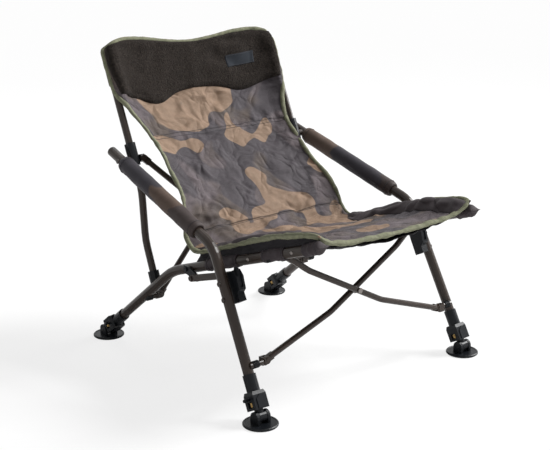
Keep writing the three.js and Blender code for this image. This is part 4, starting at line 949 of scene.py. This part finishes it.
def head_panel():
    """The panel, and the grid of its front: between its lower edge and the top it rises from its rim as a
    quarter of a sine, with a smooth random unevenness."""
    hu = np.linspace(HEAD_LEFT, HEAD_RIGHT, HEAD_COLS)
    hv = np.linspace(0, 1, HEAD_ROWS)
    low = head_low(hu)
    hp = low + (HEAD_TOP - low) * hv[:, None]
    narrowed = hu * (1 - HEAD_NARROW + HEAD_NARROW * ease(hv / HEAD_NARROW_OVER))[:, None]
    ground, up = surface(narrowed, hp)
    from_end = np.minimum(hv, 1 - hv)[:, None] / RIM_ENDS
    from_side = np.minimum((hu - HEAD_LEFT) / RIM_LEFT, (HEAD_RIGHT - hu) / RIM_RIGHT)
    rim = np.clip(np.minimum(from_end, from_side), 0, 1)
    puff = HEAD_SKIN + HEAD_HIGH * np.sin(np.pi / 2 * rim) ** HEAD_ROUND
    puff += HEAD_UNEVEN * smooth_noise(rim.shape, HEAD_CELLS, HEAD_SEED) * rim
    fleece = ground + up * puff[..., None]
    panel = shell("head_panel", fleece, ground + up * HEAD_GAP, FLEECE, LEFT,
                  pair(narrowed * HEAD_HALF_WIDE, hp * HEAD_PLACE_LONG))
    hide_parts("head_pad")
    return panel, fleece


# A plain patch sewn on the head panel
PATCH_U, PATCH_P, PATCH_TILT, PATCH_HIGH, PATCH_DEEP = (0.382, 0.712), (14.895, 15.435), 0.13, 0.0013, 0.0010
PATCH_ROWS, PATCH_COLS, PATCH_INSET, PATCH_SMOOTHED = 27, 49, 2, 3
# The rim's height starts part of a grid step out and is full after a few; the stitches sink in, in metres
RIM_START, RIM_STEPS, THREAD_SUNK, ALONG_STEPS, BESIDE_STEPS = 0.6, 2.2, 0.0002, 40, 24
PATCH_STITCH = {"pitch": 0.0030, "length": 0.0021, "half": 0.0003}


def head_patch(fleece):
    """A thin sheet that follows the smoothed fleece: level inside, its rim rounded as a quarter of a sine."""
    pu, pp = np.meshgrid(np.linspace(*PATCH_U, PATCH_COLS), np.linspace(*PATCH_P, PATCH_ROWS))
    pp = pp + PATCH_TILT * np.linspace(-0.5, 0.5, PATCH_COLS)
    row_at = (pp - head_low(pu)) / (HEAD_TOP - head_low(pu)) * (HEAD_ROWS - 1)
    col_at = (pu - HEAD_LEFT) / (HEAD_RIGHT - HEAD_LEFT) * (HEAD_COLS - 1)
    ground = bilinear(fleece, row_at, col_at)
    for _ in range(PATCH_SMOOTHED):
        ground[1:-1] = (ground[:-2] + 2 * ground[1:-1] + ground[2:]) / 4
        ground[:, 1:-1] = (ground[:, :-2] + 2 * ground[:, 1:-1] + ground[:, 2:]) / 4
    up = grid_normals(ground)
    row, col = np.arange(PATCH_ROWS), np.arange(PATCH_COLS)
    from_rim = np.minimum.outer(np.minimum(row, row[::-1]), np.minimum(col, col[::-1]))
    high = PATCH_HIGH * np.sin(np.pi / 2 * np.clip((from_rim + RIM_START) / RIM_STEPS, 0, 1))
    top = ground + up * high[..., None]
    patch = shell("head_patch", top, ground - up * PATCH_DEEP, PATCH, LEFT,
                  pair(pu * HEAD_HALF_WIDE, pp * PATCH_PLACE_LONG))
    return [patch, patch_stitches(ground + up * (high[..., None] - THREAD_SUNK), up)]


def patch_stitches(top, up):
    """Small stitches round the patch, two grid steps in from its rim."""
    low, right, high = PATCH_INSET, PATCH_COLS - 1 - PATCH_INSET, PATCH_ROWS - 1 - PATCH_INSET
    along, beside = np.linspace(low, right, ALONG_STEPS), np.linspace(low, high, BESIDE_STEPS)
    rows = np.concatenate([np.full(ALONG_STEPS, low), beside, np.full(ALONG_STEPS, high), beside[::-1]])
    cols = np.concatenate([along, np.full(BESIDE_STEPS, right), along[::-1], np.full(BESIDE_STEPS, low)])
    return stitches("head_patch_stitch", bilinear(top, rows, cols), bilinear(up, rows, cols), LEFT,
                    **PATCH_STITCH)


head, head_front = head_panel()
soft += [head, *head_patch(head_front)]

# Dark cloth under the seat: how far under the sling's front at its middle and its edge, and its thickness
UNDER_ROWS, UNDER_COLS, UNDER_U, UNDER_P = 90, 70, 0.72, (0.35, 5.9)
UNDER_MIDDLE, UNDER_EDGE, UNDER_TOP, UNDER_THICK, UNDER_FOLD = 0.0152, 0.0048, 0.0006, 0.0022, 0.0012
UNDER_CELLS, UNDER_SEED = (9, 12), 9


def seat_underlay():
    """A sheet that hangs below the seat's padding, its lower face a little uneven."""
    uu, pp = np.meshgrid(np.linspace(-UNDER_U, UNDER_U, UNDER_COLS), np.linspace(*UNDER_P, UNDER_ROWS))
    ground, up = surface(uu, pp)
    under = ground - up * np.interp(np.abs(uu), [0, 1], [UNDER_MIDDLE, UNDER_EDGE])[..., None]
    fold = UNDER_FOLD * smooth_noise(uu.shape, UNDER_CELLS, UNDER_SEED)[..., None]
    lower = under - up * (UNDER_THICK + np.abs(fold))
    sheet = shell("seat_underlay_cloth", under - up * UNDER_TOP, lower, DARK, LEFT,
                  pair(uu * HALF_WIDE, pp * PLACE_LONG))
    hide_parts("seat_underlay")
    return sheet


soft.append(seat_underlay())

# Cloth round the tubes: in metres, how far its inside lies from the tube's axis
SLEEVE_INSIDE, ROUND_STEPS = 0.0113, 28
ROUND = np.linspace(0, 2 * np.pi, ROUND_STEPS, endpoint=False)

# The head's pockets, which slip over the uprights; their line in the part's source, in millimetres
POCKET_X, POCKET_Y, POCKET_LEAN, POCKET_LOW, POCKET_TOP = 235.5, 206.85, 0.44, 597, 656.6
LEAN_FROM, POCKET_ROWS, POCKET_ROUND, POCKET_UNEVEN = 377, 34, 0.0106, 0.0003
DOME_ROWS, DOME_HIGH, DOME_LIFT, DOME_END = 6, 0.0022, 0.0006, 0.05
POCKET_CELLS, POCKET_SEED, POCKET_PITCH = (8, 5), 71, 0.002


def head_pocket(side, tag):
    """A tube round the upright's line, closed by a dome: its rings shrink, and rise as a circle's arc."""
    z = np.linspace(POCKET_LOW, POCKET_TOP, POCKET_ROWS)
    x = np.full(POCKET_ROWS, side * POCKET_X)
    axis = mm(np.stack([x, POCKET_Y + (z - LEAN_FROM) * POCKET_LEAN, z], 1))
    uneven = smooth_noise((POCKET_ROWS, ROUND_STEPS), POCKET_CELLS, POCKET_SEED + side)
    wall = around(axis, ROUND, POCKET_ROUND + POCKET_UNEVEN * uneven)
    upward = frames_along(axis)[0][-1]
    shrink = np.linspace(1, DOME_END, DOME_ROWS)[:, None, None]
    dome = axis[-1] + (wall[-1] - axis[-1]) * shrink
    dome += upward * (DOME_HIGH * np.sqrt(np.clip(1 - shrink ** 2, 0, 1)) + DOME_LIFT)
    rings = np.concatenate([wall, dome])
    last = (len(rings) - 1) * ROUND_STEPS
    faces = tube_quads(len(rings), ROUND_STEPS).tolist() + [list(range(last, last + ROUND_STEPS))]
    uv = pair(ROUND * POCKET_ROUND, np.arange(len(rings))[:, None] * POCKET_PITCH)
    pocket = piece(f"head_pocket_{tag}", rings, faces, ROLL, f"rail_frame_{tag}", uv)


for side, tag in SIDES:
    head_pocket(side, tag)

# The rail's middle line in the part's source, in millimetres
RAIL_X, RAIL_SPREAD, RAIL_Z, RAIL_FALL, RAIL_FRONT = 233.1, 0.0522, 361, 0.323, -356


def rail_points(side, y, out=0.0, up=0.0):
    """Points in metres on the rail's line at distances y, moved outwards and up by millimetres."""
    x = side * (RAIL_X + RAIL_SPREAD * y + out)
    return mm(np.stack([x, y, RAIL_Z - RAIL_FALL * (y - RAIL_FRONT) + up], -1))


# Sleeves of cloth round the rail, a little slack: spans along Y in millimetres, other sizes in metres
SLEEVE_SPANS = (("front", -355.4, -318), ("middle", -266, -204), ("rear", -129, -31))
SLEEVE_ROWS, SLEEVE_ROUND, SLEEVE_UNEVEN, SLEEVE_LEAST, SLEEVE_LIFT = 40, 0.0123, 0.0007, 0.0116, 0.0016
SLEEVE_STITCH_IN, TIP_ROWS, TIP_LONG, TIP_FLAT, TIP_SPREAD = 3, 14, 0.0115, 0.86, 0.08
SLEEVE_CELLS, SLEEVE_SEEDS, END_ROWS, END_SHARE, LIFT_WIDE, SLEEVE_UV = (6, 5), 97, 4, 0.2, 0.5, 0.012


def rail_end(axis, radius, tag, body):
    """Past the rail's end the sleeve is pressed flat and sewn shut: its rings lose height as they go out and
    gain a little width, and triangles close the last one."""
    t, n, b = frames_along(axis)
    e = np.linspace(0, 1, TIP_ROWS)[:, None]
    middle = axis[0] - t[0] * (TIP_LONG * e)
    tall = radius * (1 - ease(e) * TIP_FLAT) * np.sin(ROUND)
    wide = radius * (1 + TIP_SPREAD * e) * np.cos(ROUND)
    tip = middle[:, None] + n[0] * tall[..., None] + b[0] * wide[..., None]
    last = np.arange((TIP_ROWS - 1) * ROUND_STEPS, TIP_ROWS * ROUND_STEPS)
    fan = np.stack([np.full(ROUND_STEPS, TIP_ROWS * ROUND_STEPS), np.roll(last, -1), last], -1)
    faces = tube_quads(TIP_ROWS, ROUND_STEPS, flip=True).tolist() + fan.tolist()
    end = piece(f"rail_end_{tag}_cloth", np.concatenate([tip.reshape(-1, 3), middle[-1:]]), faces, ROLL, body)


def rail_sleeve(side, tag, label, first, last):
    """A two-walled tube round the rail: its outside is unevenly slack, less so at its ends, and is lifted by
    a bell curve along one side."""
    body = f"rail_frame_{tag}"
    y = np.linspace(first, last, SLEEVE_ROWS)
    axis = rail_points(side, y)
    from_end = np.minimum(np.arange(SLEEVE_ROWS), np.arange(SLEEVE_ROWS)[::-1])
    uneven = smooth_noise((SLEEVE_ROWS, ROUND_STEPS), SLEEVE_CELLS, int(-first) % SLEEVE_SEEDS)
    radius = SLEEVE_ROUND + SLEEVE_UNEVEN * uneven * np.clip(from_end / END_ROWS, END_SHARE, 1)[:, None]
    radius = np.maximum(radius, SLEEVE_LEAST) + SLEEVE_LIFT * bell(ROUND - np.pi / 2, LIFT_WIDE)
    outer = around(axis, ROUND, radius)
    cloth = sleeve(f"rail_sleeve_{label}_{tag}_cloth", outer, around(axis, ROUND, SLEEVE_INSIDE), ROLL, body,
                   pair(ROUND * SLEEVE_UV, (y / 1000)[:, None]))
    if label == "front":
        rail_end(axis, radius[0], tag, body)
    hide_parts(f"rail_sleeve_{label}_{tag}")
    for j, row in enumerate((SLEEVE_STITCH_IN, SLEEVE_ROWS - 1 - SLEEVE_STITCH_IN)):
        ring_stitches(f"rail_sleeve_{label}_{tag}_stitch_{j}", outer[row], axis[row], body)


# Skirts from the sling's edge down to the rail; the rail's span and offsets in millimetres, others in metres
SKIRT_ROWS, SKIRT_COLS, SKIRT_U, SKIRT_P, SKIRT_HALF = 150, 9, 0.985, (0.05, 5.4), 0.0008
SKIRT_SPAN, RAIL_OUT, RAIL_UP, SKIRT_DROP, SKIRT_WAVE, SKIRT_IN = (-354, 60), 1, 11.6, 0.004, 0.0016, 0.004
SKIRT_CELLS, SKIRT_SEED, SKIRT_UV = (26, 2), 31, 0.04


def side_skirt(side, tag):
    """A sheet of straight lines from the sling to the rail, drawn in by half a sine and waved at random."""
    top, up = surface(np.full(SKIRT_ROWS, side * SKIRT_U), np.linspace(*SKIRT_P, SKIRT_ROWS))
    top = top - up * SKIRT_DROP
    y = np.clip((top[:, 1] - SHIFT[1]) * 1000, *SKIRT_SPAN)
    bottom = rail_points(side, y, RAIL_OUT, RAIL_UP)
    w = np.linspace(0, 1, SKIRT_COLS)[:, None]
    skirt = top[:, None] * (1 - w) + bottom[:, None] * w
    wave = SKIRT_WAVE * smooth_noise((SKIRT_ROWS, SKIRT_COLS), SKIRT_CELLS, SKIRT_SEED)
    skirt[..., 0] += (wave - side * SKIRT_IN) * np.sin(np.pi * w[:, 0])
    out = grid_normals(skirt) * SKIRT_HALF
    o = shell(f"side_skirt_{tag}", skirt + out, skirt - out, DARK, f"rail_frame_{tag}",
              pair(np.linspace(0, SKIRT_UV, SKIRT_COLS), (y / 1000)[:, None]))


for side, tag in SIDES:
    for label, first, last in SLEEVE_SPANS:
        rail_sleeve(side, tag, label, first, last)
    side_skirt(side, tag)

# Arm pads: the arm's line in the part's source in millimetres and its direction, other sizes in metres
ARM_X, ARM_Y, ARM_Z, ARM_SPREAD, ARM_FALL, PAD_LONG = 276.8, 225.2, 363.3, 0.0503, 0.328, 0.302
PAD_ROWS, PAD_STEPS, PAD_ROUND, PAD_END_IN, PAD_END_OVER, PAD_STITCH_IN = 120, 48, 0.0186, 0.0035, 0.004, 5
PAD_UNEVEN, PAD_SEAM_DEEP, PAD_SEAM_TURN, PAD_SEAM_WIDE = 0.0004, 0.0012, 4.6, 0.12
PAD_CELLS, PAD_SEED, PAD_UV = (14, 6), 11, 0.019


def arm_pad(side, tag):
    """A padded two-walled sleeve on the arm: its outside draws in at both ends, and a seam runs along it as a
    narrow bell curve."""
    body = f"arm_frame_{tag}"
    start = mm([side * (ARM_X - ARM_SPREAD * ARM_Y), ARM_Y, ARM_Z + ARM_FALL * ARM_Y])
    s = np.linspace(0, PAD_LONG, PAD_ROWS)
    axis = start + unit(np.array([side * ARM_SPREAD, -1, -ARM_FALL])) * s[:, None]
    turn = np.linspace(0, 2 * np.pi, PAD_STEPS, endpoint=False)
    drawn_in = PAD_END_IN * np.exp(-np.minimum(s, s[-1] - s) / PAD_END_OVER)
    radius = PAD_ROUND - drawn_in[:, None]
    radius = radius + PAD_UNEVEN * smooth_noise((PAD_ROWS, PAD_STEPS), PAD_CELLS, PAD_SEED + side)
    radius -= PAD_SEAM_DEEP * bell(turn - PAD_SEAM_TURN, PAD_SEAM_WIDE)
    outer = around(axis, turn, radius)
    pad = sleeve(f"arm_pad_{tag}_sleeve", outer, around(axis, turn, SLEEVE_INSIDE), PADS[tag], body,
                 pair(turn * PAD_UV, s[:, None]))
    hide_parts(f"arm_pad_{tag}")
    for j, row in enumerate((PAD_STITCH_IN, PAD_ROWS - 1 - PAD_STITCH_IN)):
        ring_stitches(f"arm_pad_{tag}_stitch_{j}", outer[row], axis[row], body)


for side, tag in SIDES:
    arm_pad(side, tag)


# Small fittings; sizes in metres
RIVET_SUNK, RIVET_FLAT_SHARE, RIVET_STEPS = 0.0004, 0.04, 6
STUB_REACH, END_DEEP, WASHER_STEPS, WASHER_SIDES, RIB_SOFT = 0.016, 0.0003, 51, 24, 0.6


def turned_part(name, centre, axis, profile, mat, body, sides=20):
    """A turned piece: rows of distance along the axis and radius, carried round it by cosine and sine."""
    axis = np.asarray(axis, float)
    helper = np.array([0, 0, 1.0]) if abs(axis[2]) < 0.9 else np.array([1.0, 0, 0])
    across = unit(np.cross(axis, helper))
    a = np.linspace(0, 2 * np.pi, sides, endpoint=False)[:, None]
    ring = across * np.cos(a) + np.cross(axis, across) * np.sin(a)
    run, radius = np.asarray(profile, float).T[:, :, None, None]
    return piece(name, centre + axis * run + ring * radius, capped_quads(len(run), sides), mat, body)


def dome_rows(radius, height):
    """The profile of a low domed head, a quarter of an ellipse from its rim to a small flat middle."""
    a = np.linspace(0, np.pi / 2, RIVET_STEPS)
    dome = np.stack([height * np.sin(a), radius * np.maximum(np.cos(a), RIVET_FLAT_SHARE)], 1)
    return np.concatenate([[[-RIVET_SUNK, radius]], dome])


def stub_end(node, near):
    """The middle of a stub's end ring: a tube's points nearest the middle of the chair, close to a fork."""
    co = np.empty(len(nodes[node].data.vertices) * 3)
    nodes[node].data.vertices.foreach_get("co", co)
    world_matrix = np.array(nodes[node].matrix_world)
    co = co.reshape(-1, 3) @ world_matrix[:3, :3].T + world_matrix[:3, 3]
    close = co[np.linalg.norm(co[:, 1:] - near[1:], axis=1) < STUB_REACH]
    end = close[np.abs(close[:, 0]) < np.abs(close[:, 0]).min() + END_DEEP]
    middle = (end.min(0) + end.max(0)) / 2
    return np.array([end[:, 0].mean(), middle[1], middle[2]])


# The washers between each stub and its fork: span along the stub, size and ribs, in metres
FORK_HOSTS = (("lower", "front_leg_arm", "arm_frame"), ("upper", "side_rail", "rail_frame"),
              ("rear", "side_rail", "rail_frame"))
WASHERS_FROM, WASHERS_TO, WASHER_ROUND, RIB_HIGH, RIB_PITCH = 0.0125, 0.0275, 0.0066, 0.0013, 0.003


def stub_washers(side, tag, name, host, body):
    """A stack of rounded washers: the size of a sine, softened, along the stub."""
    low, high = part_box(f"{name}_fork_{tag}")
    end = stub_end(f"{host}_{tag}", (np.array(low) + np.array(high)) / 2)
    run = np.linspace(WASHERS_FROM, WASHERS_TO, WASHER_STEPS)
    ribs = RIB_HIGH * np.abs(np.sin(np.pi * (run - WASHERS_FROM) / RIB_PITCH)) ** RIB_SOFT
    profile = np.stack([run, WASHER_ROUND + ribs], 1)
    turned_part(f"{name}_stub_washers_{tag}", end, (side, 0, 0), profile, PLASTIC, f"{body}_{tag}",
                WASHER_SIDES)


# Rivets along the rail's outer side: their places along Y and distance out, in millimetres, sizes in metres
RIVET_PLACES, RIVET_OUT, RIVET_RADIUS, RIVET_HIGH = (-165.0, -290.0, -60.0), 10.8, 0.0036, 0.0018

# Springs in the leg locks, in millimetres: each leg's pivot and a point near its top; the wire in metres
SPRING_LEGS = (("front", "arm_frame", (294.98, -275, 18), (282.58, -115, 325.6)),
               ("rear", "rail_frame", (251.11, 345, 18), (237.94, 92.7, 216.1)))
SPRING_UP, SPRING_OUT, SPRING_LONG, SPRING_WIDE, SPRING_DEEP = 25, 13.6, 9.0, 3.6, 1.5
SPRING_TURNS, SPRING_STEPS, SPRING_SIDES = 5, 90, 6
SPRING_WIRE = 0.00045


def lock_springs(side, tag, leg, body, pivot, top):
    """Two coils beside a leg: a helix with an oval section, its long side set along the leg's depth."""
    pivot, top = np.array(pivot) * [side, 1, 1], np.array(top) * [side, 1, 1]
    up = unit(top - pivot)
    across = unit(np.array([1.0, 0, 0]) - up * up[0])
    depth = np.cross(up, across)
    turns = np.linspace(0, 2 * np.pi * SPRING_TURNS, SPRING_STEPS)[:, None]
    coil = ((turns / turns[-1] - 0.5) * SPRING_LONG * up + np.sin(turns) * SPRING_WIDE * depth
            + np.cos(turns) * SPRING_DEEP * across)
    for j, way in enumerate((-1, 1)):
        middle = pivot + up * SPRING_UP + across * way * SPRING_OUT
        sweep(f"{leg}_lock_spring_{j}_{tag}", mm(middle + coil), BRASS, f"{body}_{tag}", SPRING_WIRE,
              SPRING_WIRE, SPRING_SIDES)


for side, tag in SIDES:
    for fork in FORK_HOSTS:
        stub_washers(side, tag, *fork)
    for k, y in enumerate(RIVET_PLACES):
        turned_part(f"rail_rivet_{k}_{tag}", rail_points(side, y, RIVET_OUT), (side, 0, 0),
                    dome_rows(RIVET_RADIUS, RIVET_HIGH), STEEL, f"rail_frame_{tag}")
    for leg in SPRING_LEGS:
        lock_springs(side, tag, *leg)

for o in soft:
    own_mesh(o)

# Floor: white, and mostly seen by the camera as light of its own, so that its shadows stay soft and pale
FLOOR_HALF, FLOOR_WHITE, FLOOR_GLOW = 60, (0.92, 0.92, 0.92), 0.78
floor_mesh = bpy.data.meshes.new("floor")
corners = [(x * FLOOR_HALF, y * FLOOR_HALF, 0) for x, y in ((-1, -1), (1, -1), (1, 1), (-1, 1))]
floor_mesh.from_pydata(corners, [], [(0, 1, 2, 3)])
floor = bpy.data.objects.new("floor", floor_mesh)
bpy.context.scene.collection.objects.link(floor)
white = material("floor_white", FLOOR_WHITE, 0.9, spec=0.0)
fn, fl = white.node_tree.nodes, white.node_tree.links
glow, blend = fn.new("ShaderNodeEmission"), fn.new("ShaderNodeMixShader")
seen_share = math_node(fn, fl, "MULTIPLY", fn.new("ShaderNodeLightPath").outputs["Is Camera Ray"], FLOOR_GLOW)
fl.new(seen_share, blend.inputs["Fac"])
fl.new(fn["Principled BSDF"].outputs[0], blend.inputs[1])
fl.new(glow.outputs[0], blend.inputs[2])
fl.new(blend.outputs[0], fn["Material Output"].inputs["Surface"])
floor_mesh.materials.append(white)


# Lights
def aimed(name, kind, energy, forward):
    """A light of a kind, turned to shine along a direction."""
    light = bpy.data.lights.new(name, kind)
    light.energy = energy
    o = bpy.data.objects.new(name, light)
    bpy.context.scene.collection.objects.link(o)
    o.rotation_euler = Vector(forward).to_track_quat("-Z", "Y").to_euler()
    return o


def round_light(name, where, target, size, power):
    """A round lamp at a place, turned towards a target."""
    o = aimed(name, "AREA", power, Vector(target) - Vector(where))
    o.location = where
    o.data.shape, o.data.size = "DISK", size


round_light("key", (3.0, -0.9, 1.6), (0, 0, 0.3), 1.3, 60)
round_light("fill", (-2.6, -2.2, 1.9), (0, 0, 0.35), 2.2, 3)
round_light("rim", (0.8, 2.6, 2.6), (0, 0, 0.4), 1.8, 20)
aimed("sun", "SUN", 3.7, (-0.9, 0.42, -0.95)).data.angle = math.radians(18)

# World: white where it is seen straight, in a gloss or through glass, and dimmer where it lights
WORLD_START, WORLD_FULL = -0.2346, 1.0
world = bpy.data.worlds.new("studio")
bpy.context.scene.world = world
world.use_nodes = True
wn, wl = world.node_tree.nodes, world.node_tree.links
rays = wn.new("ShaderNodeLightPath")
seen = math_node(wn, wl, "MAXIMUM", rays.outputs["Is Camera Ray"], rays.outputs["Is Glossy Ray"])
seen = math_node(wn, wl, "MAXIMUM", seen, rays.outputs["Is Transmission Ray"])
wn["Background"].inputs["Color"].default_value = (1, 1, 1, 1)
wl.new(band(wn, wl, seen, WORLD_START, WORLD_FULL), wn["Background"].inputs["Strength"])

# The photograph's camera: its turn in radians, its place in metres and its focal length in pixels
YAW, PITCH, TILT = 0.69776, -0.26272, -0.0042
CAMERA_AT = Vector((-1.6140, -1.8945 + SHIFT[1], 0.9652))
FOCAL_PIXELS, PHOTO_WIDE, SENSOR_WIDE = 1161.73, 550, 36
forward = Vector((math.cos(PITCH) * math.sin(YAW), math.cos(PITCH) * math.cos(YAW), math.sin(PITCH)))
right = Vector((math.cos(YAW), -math.sin(YAW), 0))
upward = right.cross(forward)
across = right * math.cos(TILT) + upward * math.sin(TILT)
up = -right * math.sin(TILT) + upward * math.cos(TILT)
lens = bpy.data.cameras.new("photo")
lens.sensor_width, lens.lens = SENSOR_WIDE, FOCAL_PIXELS / PHOTO_WIDE * SENSOR_WIDE
camera = bpy.data.objects.new("photo", lens)
bpy.context.scene.collection.objects.link(camera)
camera_matrix = np.eye(4)
camera_matrix[:3] = np.array([across, up, -forward, CAMERA_AT]).T
camera.matrix_world = Matrix(camera_matrix.tolist())
bpy.context.scene.camera = camera
bpy.context.scene.view_settings.view_transform = "Standard"
